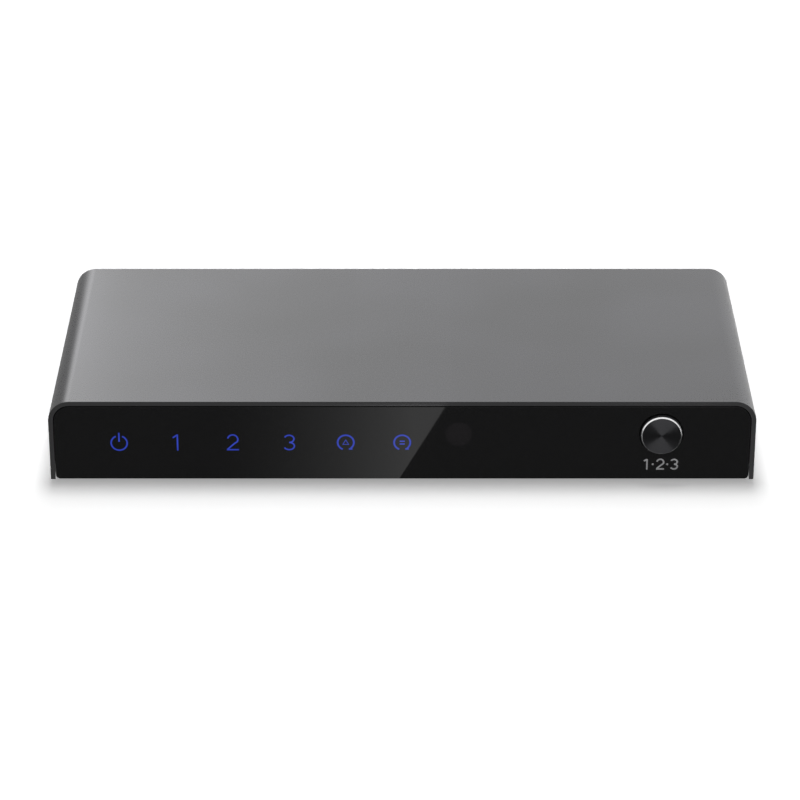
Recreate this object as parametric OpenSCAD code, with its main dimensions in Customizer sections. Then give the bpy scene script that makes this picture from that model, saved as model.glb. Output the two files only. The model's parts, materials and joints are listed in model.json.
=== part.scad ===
// Three-input video switch box: a folded steel tray under a bent aluminium cover, with a
// gloss front panel, a select button and one circuit board that carries the rear sockets.
// The front faces -Y, +Z is up and the origin is on the table under the middle of the box.

/* [Housing] */
// Width of the cover
body_w = 150; // [146:1:190]
// Depth of the cover from its front edge to its rear edge
body_d = 70; // [66:1:110]
// Height of the cover from its lower edge to its top
body_h = 18.4; // [17.4:0.2:26]
// Thickness of the cover's sheet
cover_t = 1; // [0.8:0.1:1.2]
// Outside radius of the cover's two long bends
bend_r = 4.6; // [3:0.2:6]
// Thickness of the tray's sheet
tray_t = 1; // [0.8:0.1:1.2]
// Outside radius of the tray's bends
tray_bend_r = 1.6; // [1.4:0.1:2]
// Gap between the tray and the inside of the cover
tray_gap = 0.2; // [0.1:0.05:0.4]
// Height of the tray's side flanges
flange_h = 9.5; // [8.6:0.1:11]
// How far the rear wall stands inside the cover's rear edge
rear_inset = 0.5; // [0:0.1:1]
// Diameter of a rubber foot
foot_d = 9; // [6:0.5:11]
// Height of a rubber foot
foot_h = 0.8; // [0.5:0.1:3]
// Distance of a foot's axis from the side of the cover
foot_inset_x = 13; // [8:1:30]
// Distance of a foot's axis from the front or rear edge of the cover
foot_inset_y = 10; // [9:0.5:14]

/* [Front panel] */
// Thickness of the front panel
panel_t = 2; // [1.5:0.1:2.5]
// How far the panel's face lies behind the cover's front edge
panel_inset = 0.3; // [0.1:0.1:1]
// Gap between the panel and the inside of the cover
panel_gap = 0.15; // [0.1:0.05:0.3]
// Height of the panel's lower edge above the cover's lower edge
panel_lift = 0.2; // [0:0.1:0.6]
// Radius of the panel's two lower corners
panel_corner_r = 0.9; // [0.4:0.1:2]
// Thickness of the adhesive tape behind the panel
tape_t = 0.2; // [0.1:0.05:0.4]
// Distance of the tape's edge from the panel's edge
tape_margin = 1.2; // [0.6:0.1:2]

/* [Select button] */
// Diameter of the button's cap
button_d = 8.8; // [7.6:0.2:9.4]
// Width of the chamfer round the cap's face
button_edge = 0.4; // [0.2:0.05:0.8]
// How far the cap stands out of the panel
button_proud = 1.2; // [0.6:0.1:2]
// Gap between the cap and the edge of its hole
button_gap = 0.3; // [0.2:0.05:0.5]
// Travel of the button
button_travel = 0.4; // [0.2:0.05:0.5]
// Distance of the button's axis from the right side of the cover
button_inset = 20; // [17:0.5:26]
// Height of the button's axis above the cover's lower edge
button_h = 10.7; // [10:0.1:11.5]

/* [Indicators] */
// Height of the symbols' row above the cover's lower edge
icon_h = 8.8; // [8.4:0.1:10]
// Width of the rib between two light wells
well_rib = 4; // [2:0.5:6]
// Height of a light well above the symbols' row
well_rise = 2.2; // [1.6:0.1:2.6]

/* [Board and sockets] */
// Height of the pillars under the board
standoff_h = 4; // [3:0.5:4.5]
// Diameter of the pillars under the board
standoff_d = 5.5; // [4.8:0.1:6.5]
// Thread diameter of the screws
screw_d = 2.5; // [2:0.1:2.6]
// Gap between the board and the tray's side flanges
board_gap = 4.8; // [3:0.2:7]
// Thickness of the board
board_t = 1.6; // [1.2:0.2:2]
// Width of a video socket's opening
socket_w = 14; // [13.8:0.1:14.2]
// Height of a video socket's opening
socket_h = 4.55; // [4.4:0.05:4.8]
// Radius of the corners of a video socket's opening
socket_corner_r = 0.45; // [0.2:0.05:0.8]
// Thickness of a video socket's shell
socket_wall = 0.5; // [0.3:0.1:0.6]
// Length of a video socket's shell
socket_len = 12; // [11:0.5:14]
// How far the sockets stand out of the rear wall
socket_proud = 1; // [0.4:0.1:1.8]
// Length of a spring tab in a video socket's wall
tab_len = 4.8; // [4:0.1:5.4]
// How far a spring tab bows into a video socket's opening
tab_bow = 0.4; // [0.2:0.05:0.5]
// Diameter of the power inlet's bore
power_bore_d = 3.9; // [3.6:0.1:4.2]
// Diameter of the power inlet's pin
power_pin_d = 1.3; // [1:0.1:1.6]

/* [Hidden] */
$fn = 64;
icon_count = 6;
slip_fit = 0.05; // radial gap round parts that are pushed or screwed into a hole
hole_fit = 0.3; // gap round a part that passes through sheet metal
leg_fit = 0.2; // gap round a leg in the board
over = 1; // how far a cutting shape runs past what it cuts

z_low = foot_h;
z_top = z_low + body_h;
y_front = -body_d / 2;
y_rear = body_d / 2;

panel_y0 = y_front + panel_inset;
panel_y1 = panel_y0 + panel_t;
panel_w = body_w - 2 * (cover_t + panel_gap);
panel_z0 = z_low + panel_lift;
panel_z1 = z_top - cover_t - panel_gap;
panel_top_r = bend_r - cover_t - panel_gap;

wall_y0 = panel_y1 + tape_t;
wall_y1 = wall_y0 + tray_t;
rear_y1 = y_rear - rear_inset;
rear_y0 = rear_y1 - tray_t;
tray_w = body_w - 2 * (cover_t + tray_gap);
tray_top = z_top - cover_t - tray_gap;
tray_top_r = bend_r - cover_t - tray_gap;
tray_floor = z_low + tray_t;
relief_gap = 0.6;
relief = tray_bend_r + relief_gap;

board_w = tray_w - 2 * (tray_t + board_gap);
board_z = tray_floor + standoff_h;
board_top = board_z + board_t;
board_front_gap = 1.2;
board_rear_gap = 0.5;
board_y0 = wall_y1 + board_front_gap;
board_y1 = rear_y0 - board_rear_gap;
board_mid_y = (board_y0 + board_y1) / 2;
standoff_inset = 6;
standoff_x = board_w / 2 - standoff_inset;
standoff_front_y = board_y0 + 2 * standoff_inset;
standoff_rear_y = board_y1 - 3 * standoff_inset;
standoff_shank_d = standoff_d - 2 * hole_fit - 0.28 * screw_d;

button_x = body_w / 2 - button_inset;
button_z = z_low + button_h;
button_hole_d = button_d + 2 * button_gap;
cap_clearance = 0.2;
cap_y0 = panel_y0 - button_proud;
cap_y1 = wall_y0 - button_travel - cap_clearance;
stem_d = 4.5;
stem_tail_d = 4;
stem_tail = 1.5;
spigot_d = 3.2;
spigot_len = 1.4;
collar_d = 7;
collar_t = 1;
collar_y1 = wall_y1 + collar_t;
stem_y1 = collar_y1 + stem_tail;

plunger_rise = 1;
tact_w = 6;
tact_plate_t = 0.3;
tact_depth = 3.4;
tact_leg_w = 1;
tact_leg_inset = 1.2;
tact_y0 = stem_y1 + plunger_rise;
tact_y1 = tact_y0 + tact_plate_t;
tact_y2 = tact_y1 + tact_depth;
plunger_d = 3.4;
plunger_collar_d = 4.6;
plunger_collar_t = 0.8;
plunger_y1 = tact_y1 + plunger_collar_t;
dome_d = 4.8;
dome_t = 0.12;
dome_rise = 1.2;
dome_y1 = plunger_y1 + dome_rise;
dome_r = (pow(dome_d / 2, 2) + pow(dome_rise, 2)) / (2 * dome_rise);

icon_pitch = 0.08 * body_w;
icon_z = z_low + icon_h;
icon_x0 = -(icon_count - 1) * icon_pitch;
well_w = icon_pitch - well_rib;
well_top = icon_z + well_rise;
shade_wall = 1;
shade_x0 = icon_x0 - well_w / 2 - shade_wall;
shade_x1 = well_w / 2 + shade_wall;
shade_depth = 4.3;
shade_y1 = board_y0 + shade_depth;
shade_lip_gap = 0.2;
shade_peg_d = 1.2;
nose_drop = 0.8;
nose_z0 = board_top - nose_drop;
nose_z1 = well_top + shade_wall;
led_w = 3.2;
led_h = 2;
led_depth = 1.3;
led_window_d = 1.6;
led_y1 = shade_y1 - shade_wall - leg_fit;

receiver_x = icon_pitch;
receiver_w = 5.6;
receiver_depth = 3;
receiver_gap = 0.4;
receiver_y0 = wall_y1 + receiver_gap;
receiver_y1 = receiver_y0 + receiver_depth;
receiver_lens_r = 2.5;
receiver_lens_set = 1.2;
receiver_hole_d = 2 * receiver_lens_r + 1;
lead_w = 0.5;
lead_pitch = 2;
lead_inset = 1.2;
leg_tail = 0.9;

socket_pitch = 0.16 * body_w;
input_1_x = 1.75 * socket_pitch;
input_2_x = 0.75 * socket_pitch;
input_3_x = -0.25 * socket_pitch;
output_x = -1.5 * socket_pitch;
socket_xs = [output_x, input_3_x, input_2_x, input_1_x];
socket_y1 = rear_y1 + socket_proud;
socket_y0 = socket_y1 - socket_len;
socket_z = board_top + socket_wall;
bevel_w = 1.7;
bevel_h = 1.75;
tab_w = 1.5;
tab_slot = 0.3;
tab_setback = 0.9;
tab_y1 = socket_y1 - tab_setback;
tab_y0 = tab_y1 - tab_len;
tab_knee_y = tab_y0 + 0.7 * tab_len;
upper_tab_x = 3.3;
lower_tab_x = 2.5;
tab_spots = [[-upper_tab_x, 1], [upper_tab_x, 1], [-lower_tab_x, -1], [lower_tab_x, -1]];
tongue_root = 4;
tongue_w = 11.2;
tongue_t = 1.3;
tongue_drop = 1.05;
tongue_setback = 1.5;
tongue_z1 = socket_z + socket_h - tongue_drop;
tongue_z0 = tongue_z1 - tongue_t;
tongue_y1 = socket_y1 - tongue_setback;
contact_pitch = 1;
contact_w = 0.5;
contact_t = 0.12;
contact_setback = 0.6;
socket_leg_w = 1.2;
socket_leg_inset = 1.5;
socket_leg_ys = [socket_y0 + 2 * socket_leg_inset, board_y1 - socket_leg_inset];

power_x = -2.5 * socket_pitch;
power_w = 7;
power_len = 9;
power_rise = 3.3;
power_proud = 0.8;
power_wall = 0.9;
power_back_t = 1.5;
power_rivet_t = 0.4;
power_peg_d = 1.2;
power_z = board_top + power_rise;
power_y2 = rear_y0 - hole_fit;
power_y1 = power_y2 - power_len;
power_y3 = rear_y1 + power_proud;
power_nose_d = power_bore_d + 2 * power_wall;

screw_head_d = 1.8 * screw_d;
screw_head_h = 0.6 * screw_d;
cover_screw_head_d = screw_d + 2 * cover_t;
cover_screw_z = z_low + flange_h - 3.5;
cover_screw_y = body_d / 2 - 1.5 * foot_inset_y;

chip_w = 10;
chip_h = 1;
chip_mark_d = 0.9;
regulator_w = 6.5;
inductor_w = 6;
inductor_h = 2.6;
crystal_w = 5;
crystal_h = 1.1;
can_d = 5;
can_h = 5.4;
can_pitch = 8;

// Unit vector that points out of the edge from a to b of an outline drawn anticlockwise
function outward(a, b) = [b[1] - a[1], a[0] - b[0]] / norm(b - a);

// Corner between two edges with outward vectors m and n, moved out by g
function moved_corner(p, m, n, g) = p + g * (m + n) / (1 + m * n);

// Outline with every edge moved out by g
function grown(points, g) = [
  for (i = [0 : len(points) - 1])
    let (before = points[(i + len(points) - 1) % len(points)])
    let (after = points[(i + 1) % len(points)])
    moved_corner(points[i], outward(before, points[i]), outward(points[i], after), g)
];

// Opening of a video socket, its lower corners bevelled, with the lower edge on the x axis
socket_points = [
  [-socket_w / 2 + bevel_w, 0],
  [socket_w / 2 - bevel_w, 0],
  [socket_w / 2, bevel_h],
  [socket_w / 2, socket_h],
  [-socket_w / 2, socket_h],
  [-socket_w / 2, bevel_h],
];

// Outline moved out by g, with each corner rounded about the centre of its radius r
module rounded_outline(points, r, g) {
  centres = grown(points, -r);
  count = len(points);
  polygon([
    for (i = [0 : count - 1])
      let (before = points[(i + count - 1) % count])
      let (after = points[(i + 1) % count])
      for (normal = [outward(before, points[i]), outward(points[i], after)])
        centres[i] + (r + g) * normal
  ]);
  for (centre = centres)
    translate(centre)
      circle(r = r + g);
}

// Solid between y0 and y1 with an outline drawn in x and z
module along_y(y0, y1) {
  translate([0, y1, 0])
    rotate([90, 0, 0])
      linear_extrude(y1 - y0)
        children();
}

// Solid between x0 and x1 with an outline drawn in y and z
module along_x(x0, x1) {
  translate([x0, 0, 0])
    rotate([90, 0, 90])
      linear_extrude(x1 - x0)
        children();
}

// Round bar along y
module bar_y(x, z, y0, y1, d) {
  translate([x, y0, z])
    rotate([-90, 0, 0])
      cylinder(d = d, h = y1 - y0);
}

// Block between two opposite corners
module block(low, high) {
  translate(low)
    cube(high - low);
}

// Plate outline with rounded upper corners and, where low_r is above 0, rounded lower corners
module plate(w, z0, z1, high_r, low_r) {
  translate([-w / 2, z0 + low_r])
    square([w, z1 - z0 - low_r - high_r]);
  translate([-w / 2 + high_r, z0 + low_r])
    square([w - 2 * high_r, z1 - z0 - low_r]);
  for (side = [-1, 1])
    translate([side * (w / 2 - high_r), z1 - high_r])
      circle(r = high_r);
  if (low_r > 0) {
    translate([-w / 2 + low_r, z0])
      square([w - 2 * low_r, z1 - z0 - high_r]);
    for (side = [-1, 1])
      translate([side * (w / 2 - low_r), z0 + low_r])
        circle(r = low_r);
  }
}

// Sheet bent down on both sides, open below
module bent_sheet(w, z0, z1, r, t) {
  difference() {
    plate(w, z0, z1, r, 0);
    plate(w - 2 * t, z0 - over, z1 - t, r - t, 0);
  }
}

// Sheet bent up on both sides, open above
module trough(w, z0, z1, r, t) {
  translate([0, z0 + z1])
    mirror([0, 1])
      bent_sheet(w, z0, z1, r, t);
}

module at_standoffs() {
  for (x = [-standoff_x, standoff_x])
    for (y = [standoff_front_y, standoff_rear_y])
      translate([x, y, 0])
        children();
}

// Places a screw drawn with its head's top at the origin and its shank along -z
module at_cover_screws() {
  for (side = [-1, 1])
    for (y = [-cover_screw_y, cover_screw_y])
      translate([side * body_w / 2, y, cover_screw_z])
        rotate([0, side * 90, 0])
          children();
}

module cross_recess() {
  for (turn = [0, 90])
    rotate([0, 0, turn])
      translate([-0.45 * screw_d, -0.12 * screw_d, -0.28 * screw_d])
        cube([0.9 * screw_d, 0.24 * screw_d, 0.28 * screw_d + over]);
}

module top_cover() {
  color([0.56, 0.57, 0.59])
    difference() {
      along_y(y_front, y_rear)
        bent_sheet(body_w, z_low, z_top, bend_r, cover_t);
      at_cover_screws()
        translate([0, 0, -cover_t])
          cylinder(d1 = screw_d + 2 * slip_fit, d2 = cover_screw_head_d + 2 * slip_fit, h = cover_t);
    }
}

module chassis_tray() {
  tray_mid_y = (wall_y0 + rear_y1) / 2;
  color([0.1, 0.1, 0.11])
    difference() {
      union() {
        along_x(-tray_w / 2 + relief, tray_w / 2 - relief)
          translate([tray_mid_y, 0])
            trough(rear_y1 - wall_y0, z_low, z_low + flange_h, tray_bend_r, tray_t);
        along_y(wall_y0 + relief, rear_y1 - relief)
          trough(tray_w, z_low, z_low + flange_h, tray_bend_r, tray_t);
        along_y(wall_y0, wall_y1)
          plate(tray_w, z_low + relief, tray_top, tray_top_r, 0);
        along_y(rear_y0, rear_y1)
          plate(tray_w, z_low + relief, tray_top, tray_top_r, 0);
      }
      block(
        [shade_x0 - hole_fit, wall_y0 - over, nose_z0 - hole_fit],
        [shade_x1 + hole_fit, wall_y1 + over, nose_z1 + hole_fit]
      );
      bar_y(receiver_x, button_z, wall_y0 - over, wall_y1 + over, receiver_hole_d);
      bar_y(button_x, button_z, wall_y0 - over, wall_y1 + over, stem_d + 4 * slip_fit);
      for (x = socket_xs)
        translate([x, 0, 0])
          along_y(rear_y0 - over, rear_y1 + over)
            socket_hole();
      bar_y(power_x, power_z, rear_y0 - over, rear_y1 + over, power_nose_d + 2 * hole_fit);
      at_standoffs()
        translate([0, 0, z_low - over])
          cylinder(d = standoff_shank_d + 2 * slip_fit, h = tray_t + 2 * over);
      at_cover_screws()
        translate([0, 0, -cover_t - tray_gap - tray_t - over])
          cylinder(d = screw_d + 2 * slip_fit, h = tray_t + 2 * over);
    }
}

module front_panel() {
  color([0.04, 0.04, 0.045])
    difference() {
      along_y(panel_y0, panel_y1)
        plate(panel_w, panel_z0, panel_z1, panel_top_r, panel_corner_r);
      bar_y(button_x, button_z, panel_y0 - over, panel_y1 + over, button_hole_d);
    }
}

module panel_tape() {
  color([0.25, 0.25, 0.25])
    difference() {
      along_y(panel_y1, wall_y0)
        plate(
          panel_w - 2 * tape_margin, panel_z0 + tape_margin, panel_z1 - tape_margin,
          panel_top_r - tape_margin, panel_corner_r
        );
      block(
        [shade_x0 - hole_fit, panel_y1 - over, nose_z0 - hole_fit],
        [shade_x1 + hole_fit, wall_y0 + over, nose_z1 + hole_fit]
      );
      bar_y(receiver_x, button_z, panel_y1 - over, wall_y0 + over, receiver_hole_d + 2 * slip_fit);
      bar_y(button_x, button_z, panel_y1 - over, wall_y0 + over, button_hole_d);
    }
}

// Frosted film that spreads the light behind the symbols
module icon_film() {
  color([0.85, 0.86, 0.88])
    block([shade_x0, panel_y1, nose_z0], [shade_x1, wall_y0, nose_z1]);
}

// Walls that keep the light of one symbol from the next
module light_shade() {
  color([0.15, 0.15, 0.15]) {
    block([shade_x0, wall_y0, nose_z0], [shade_x1, board_y0 - shade_lip_gap, board_top]);
    block([shade_x0, wall_y0, well_top], [shade_x1, shade_y1, nose_z1]);
    block([shade_x0, shade_y1 - shade_wall, board_top], [shade_x1, shade_y1, nose_z1]);
    for (x = [shade_x0, shade_x1 - shade_wall])
      block([x, wall_y0, board_top], [x + shade_wall, shade_y1, nose_z1]);
    for (i = [0 : icon_count - 2]) {
      x = icon_x0 + (i + 0.5) * icon_pitch;
      block([x - well_rib / 2, wall_y0, board_top], [x + well_rib / 2, shade_y1, nose_z1]);
    }
    at_shade_pegs()
      translate([0, 0, board_z])
        cylinder(d = shade_peg_d, h = board_t + shade_wall);
  }
}

module at_shade_pegs() {
  for (i = [0, icon_count - 2])
    translate([icon_x0 + (i + 0.5) * icon_pitch, shade_y1 - 2 * shade_wall, 0])
      children();
}

// Side-firing lamp with its window towards the panel
module led(i) {
  x = icon_x0 + i * icon_pitch;
  y0 = led_y1 - led_depth;
  color([0.92, 0.92, 0.88])
    difference() {
      block([x - led_w / 2, y0, board_top], [x + led_w / 2, led_y1, board_top + led_h]);
      translate([x, y0, board_top + led_h / 2])
        scale([1, 0.5, 1])
          sphere(d = led_window_d);
    }
}

module led_1() { led(0); }
module led_2() { led(1); }
module led_3() { led(2); }
module led_4() { led(3); }
module led_5() { led(4); }
module led_6() { led(5); }

module at_receiver_leads() {
  for (i = [-1 : 1])
    translate([receiver_x + i * lead_pitch, receiver_y1 - lead_inset, 0])
      children();
}

module ir_receiver() {
  color([0.12, 0.11, 0.12]) {
    block(
      [receiver_x - receiver_w / 2, receiver_y0, board_top],
      [receiver_x + receiver_w / 2, receiver_y1, button_z + receiver_lens_r + receiver_gap]
    );
    intersection() {
      translate([receiver_x, receiver_y0 + receiver_lens_set, button_z])
        sphere(r = receiver_lens_r);
      bar_y(receiver_x, button_z, receiver_y0 - receiver_lens_r, receiver_y0 + over, 2 * receiver_lens_r);
    }
    at_receiver_leads()
      translate([-lead_w / 2, -lead_w / 2, board_z - leg_tail])
        cube([lead_w, lead_w, board_t + leg_tail + receiver_gap]);
  }
}

module button_cap() {
  depth = cap_y1 - cap_y0;
  r = button_d / 2;
  bore_r = spigot_d / 2 + slip_fit;
  color([0.5, 0.51, 0.53])
    translate([button_x, cap_y0, button_z])
      rotate([-90, 0, 0])
        rotate_extrude()
          polygon([
            [0, 0], [r - button_edge, 0], [r, button_edge], [r, depth],
            [bore_r, depth], [bore_r, depth - spigot_len], [0, depth - spigot_len],
          ]);
}

module button_stem() {
  color([0.2, 0.2, 0.21]) {
    bar_y(button_x, button_z, cap_y1 - spigot_len, collar_y1, spigot_d);
    bar_y(button_x, button_z, cap_y1, collar_y1, stem_d);
    bar_y(button_x, button_z, wall_y1, collar_y1, collar_d);
    bar_y(button_x, button_z, wall_y1, stem_y1, stem_tail_d);
  }
}

// Places a leg of the push switch's frame, drawn with its middle at x = 0 and y = 0
module at_tact_legs() {
  for (side = [-1, 1])
    translate([button_x + side * (tact_w + tact_plate_t) / 2, tact_y1 + tact_leg_inset, 0])
      children();
}

// Bent steel frame that holds the push switch together and to the board
module tact_frame() {
  half_w = tact_w / 2 + tact_plate_t;
  color([0.75, 0.75, 0.76]) {
    difference() {
      block(
        [button_x - half_w, tact_y0, board_top],
        [button_x + half_w, tact_y1, button_z + tact_w / 2]
      );
      bar_y(button_x, button_z, tact_y0 - over, tact_y1 + over, plunger_d + 2 * leg_fit);
    }
    for (side = [-1, 1])
      translate([button_x + side * (tact_w + tact_plate_t) / 2, 0, 0])
        block(
          [-tact_plate_t / 2, tact_y0, board_top],
          [tact_plate_t / 2, tact_y2 - tact_leg_w, button_z + tact_w / 2]
        );
    at_tact_legs()
      translate([-tact_plate_t / 2, -tact_leg_w / 2, board_z - leg_tail])
        cube([tact_plate_t, tact_leg_w, board_t + leg_tail + tact_leg_w]);
  }
}

module tact_base() {
  color([0.09, 0.09, 0.09])
    difference() {
      block(
        [button_x - tact_w / 2, tact_y1, board_top],
        [button_x + tact_w / 2, tact_y2, button_z + tact_w / 2]
      );
      bar_y(button_x, button_z, tact_y1 - over, dome_y1, dome_d + leg_fit);
    }
}

// Snap dome with its rim on the floor of the base's cavity
module tact_dome() {
  color([0.8, 0.8, 0.78])
    intersection() {
      difference() {
        translate([button_x, plunger_y1 + dome_r, button_z])
          sphere(r = dome_r);
        translate([button_x, plunger_y1 + dome_r, button_z])
          sphere(r = dome_r - dome_t);
      }
      bar_y(button_x, button_z, plunger_y1 - over, dome_y1, dome_d);
    }
}

module tact_plunger() {
  color([0.2, 0.2, 0.2]) {
    bar_y(button_x, button_z, stem_y1, plunger_y1, plunger_d);
    bar_y(button_x, button_z, tact_y1, plunger_y1, plunger_collar_d);
  }
}

module at_socket_legs() {
  for (x = socket_xs)
    for (side = [-1, 1])
      for (y = socket_leg_ys)
        translate([x + side * (socket_w + socket_wall) / 2, y, 0])
          children();
}

module at_power_pegs() {
  for (side = [-1, 1])
    translate([power_x + side * power_w / 3, power_y1 + power_len / 4, 0])
      children();
}

module main_board() {
  color([0.06, 0.28, 0.14])
    difference() {
      block([-board_w / 2, board_y0, board_z], [board_w / 2, board_y1, board_top]);
      at_standoffs()
        translate([0, 0, board_z - over])
          cylinder(d = screw_d + 2 * leg_fit, h = board_t + 2 * over);
      at_socket_legs()
        translate([-socket_wall / 2 - leg_fit, -socket_leg_w / 2 - leg_fit, board_z - over])
          cube([socket_wall + 2 * leg_fit, socket_leg_w + 2 * leg_fit, board_t + 2 * over]);
      at_tact_legs()
        translate([-tact_plate_t / 2 - leg_fit, -tact_leg_w / 2 - leg_fit, board_z - over])
          cube([tact_plate_t + 2 * leg_fit, tact_leg_w + 2 * leg_fit, board_t + 2 * over]);
      at_receiver_leads()
        translate([0, 0, board_z - over])
          cylinder(d = 1.5 * lead_w + leg_fit, h = board_t + 2 * over);
      at_shade_pegs()
        translate([0, 0, board_z - over])
          cylinder(d = shade_peg_d + 2 * slip_fit, h = board_t + 2 * over);
      at_power_pegs()
        translate([0, 0, board_z - over])
          cylinder(d = power_peg_d + 2 * slip_fit, h = board_t + 2 * over);
    }
}

module standoffs() {
  color([0.72, 0.72, 0.7])
    at_standoffs()
      difference() {
        union() {
          translate([0, 0, tray_floor])
            cylinder(d = standoff_d, h = standoff_h);
          translate([0, 0, z_low])
            cylinder(d = standoff_shank_d, h = tray_t + over);
        }
        translate([0, 0, tray_floor])
          cylinder(d = screw_d + 2 * slip_fit, h = standoff_h + over);
      }
}

module board_screws() {
  color([0.7, 0.7, 0.72])
    at_standoffs()
      translate([0, 0, board_top])
        difference() {
          union() {
            cylinder(d = screw_head_d, h = screw_head_h);
            translate([0, 0, -board_t - 0.8 * standoff_h])
              cylinder(d = screw_d, h = board_t + standoff_h);
          }
          translate([0, 0, screw_head_h])
            cross_recess();
        }
}

module cover_screws() {
  color([0.6, 0.6, 0.62])
    at_cover_screws()
      difference() {
        union() {
          translate([0, 0, -cover_t])
            cylinder(d1 = screw_d, d2 = cover_screw_head_d, h = cover_t);
          translate([0, 0, -cover_t - tray_gap - 1.8 * tray_t])
            cylinder(d = screw_d, h = cover_t / 2 + tray_gap + 1.8 * tray_t);
        }
        cross_recess();
      }
}

module foot(x_side, y_side) {
  r = foot_d / 2;
  edge = foot_h / 3;
  color([0.08, 0.08, 0.08])
    translate([x_side * (body_w / 2 - foot_inset_x), y_side * (body_d / 2 - foot_inset_y), 0])
      rotate_extrude()
        polygon([[0, 0], [r - edge, 0], [r, edge], [r, foot_h], [0, foot_h]]);
}

module foot_front_left() { foot(-1, -1); }
module foot_front_right() { foot(1, -1); }
module foot_rear_left() { foot(-1, 1); }
module foot_rear_right() { foot(1, 1); }

// Hole in the rear wall round a video socket's shell
module socket_hole() {
  translate([0, socket_z])
    polygon(grown(socket_points, socket_wall + hole_fit));
}

module socket_outline(g) {
  translate([0, socket_z])
    rounded_outline(socket_points, socket_corner_r, g);
}

// Height of the inner face of a video socket's upper wall, or of its lower wall where side is -1
function tab_wall_z(side) = socket_z + (side > 0 ? socket_h : 0);

module at_spring_tabs() {
  for (spot = tab_spots)
    translate([spot[0], 0, 0]) {
      $side = spot[1];
      children();
    }
}

// Window round a spring tab
module tab_window() {
  reach = [tab_w / 2 + tab_slot, 0, socket_wall + over];
  middle = [0, 0, tab_wall_z($side)];
  block(middle - reach + [0, tab_y0, 0], middle + reach + [0, tab_y1 + tab_slot, 0]);
}

// Strip of the wall that stays joined at its inner end, bows into the opening and turns back at its tip
module spring_tab() {
  bow = [[tab_y0 - over, 0], [tab_y0, 0], [tab_knee_y, tab_bow], [tab_y1, tab_bow / 4]];
  along_x(-tab_w / 2, tab_w / 2)
    translate([0, tab_wall_z($side)])
      polygon([
        for (p = bow)
          [p[0], -$side * p[1]],
        for (i = [len(bow) - 1 : -1 : 0])
          [bow[i][0], $side * (socket_wall - bow[i][1])],
      ]);
}

// Folded steel shell with four spring tabs and four legs in the board
module socket_shell(x) {
  color([0.78, 0.78, 0.8])
    translate([x, 0, 0]) {
      difference() {
        along_y(socket_y0, socket_y1)
          socket_outline(socket_wall);
        along_y(socket_y0 - over, socket_y1 + over)
          socket_outline(0);
        at_spring_tabs()
          tab_window();
      }
      at_spring_tabs()
        spring_tab();
      for (side = [-1, 1])
        for (y = socket_leg_ys)
          translate([side * (socket_w + socket_wall) / 2, y, 0])
            block(
              [-socket_wall / 2, -socket_leg_w / 2, board_z - leg_tail],
              [socket_wall / 2, socket_leg_w / 2, socket_z + bevel_h + socket_wall]
            );
    }
}

// Insulator that closes the back of the shell and carries the tongue
module socket_tongue(x) {
  color([0.07, 0.07, 0.07])
    translate([x, 0, 0]) {
      along_y(socket_y0, socket_y0 + tongue_root)
        socket_outline(-slip_fit);
      block(
        [-tongue_w / 2, socket_y0 + tongue_root / 2, tongue_z0],
        [tongue_w / 2, tongue_y1, tongue_z1]
      );
    }
}

module contact_row(x, count, z) {
  for (i = [0 : count - 1]) {
    middle = x + (i - (count - 1) / 2) * contact_pitch;
    block(
      [middle - contact_w / 2, socket_y0 + tongue_root, z],
      [middle + contact_w / 2, tongue_y1 - contact_setback, z + contact_t]
    );
  }
}

module socket_contacts(x) {
  color([0.85, 0.68, 0.3]) {
    contact_row(x, 10, tongue_z1);
    contact_row(x, 9, tongue_z0 - contact_t);
  }
}

module output_shell() { socket_shell(output_x); }
module output_tongue() { socket_tongue(output_x); }
module output_contacts() { socket_contacts(output_x); }
module input_1_shell() { socket_shell(input_1_x); }
module input_1_tongue() { socket_tongue(input_1_x); }
module input_1_contacts() { socket_contacts(input_1_x); }
module input_2_shell() { socket_shell(input_2_x); }
module input_2_tongue() { socket_tongue(input_2_x); }
module input_2_contacts() { socket_contacts(input_2_x); }
module input_3_shell() { socket_shell(input_3_x); }
module input_3_tongue() { socket_tongue(input_3_x); }
module input_3_contacts() { socket_contacts(input_3_x); }

module power_body() {
  floor_y = power_y1 + power_back_t;
  color([0.08, 0.08, 0.085])
    difference() {
      union() {
        block(
          [power_x - power_w / 2, power_y1, board_top],
          [power_x + power_w / 2, power_y2, power_z + power_rise]
        );
        bar_y(power_x, power_z, power_y2 - over, power_y3, power_nose_d);
        at_power_pegs()
          translate([0, 0, board_z])
            cylinder(d = power_peg_d, h = board_t + over);
      }
      bar_y(power_x, power_z, floor_y, power_y3 + over, power_bore_d);
      bar_y(power_x, power_z, power_y1 - over, floor_y + over, power_pin_d + 2 * slip_fit);
    }
}

module power_pin() {
  color([0.8, 0.78, 0.7]) {
    bar_y(power_x, power_z, power_y1, power_y3 - power_proud, power_pin_d);
    bar_y(power_x, power_z, power_y1 - power_rivet_t, power_y1, 2 * power_pin_d);
  }
}

// Flat package with a round mark in one corner of its top
module chip(w, h) {
  difference() {
    translate([-w / 2, -w / 2, 0])
      cube([w, w, h]);
    translate([-0.4 * w, 0.4 * w, 0.9 * h])
      cylinder(d = chip_mark_d, h = h);
  }
}

module switch_chip() {
  color([0.1, 0.1, 0.1])
    translate([0.6 * socket_pitch, board_mid_y, board_top])
      chip(chip_w, chip_h);
}

module control_chip() {
  color([0.1, 0.1, 0.1])
    translate([-0.8 * socket_pitch, board_mid_y - chip_w, board_top])
      chip(0.7 * chip_w, chip_h);
}

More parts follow.
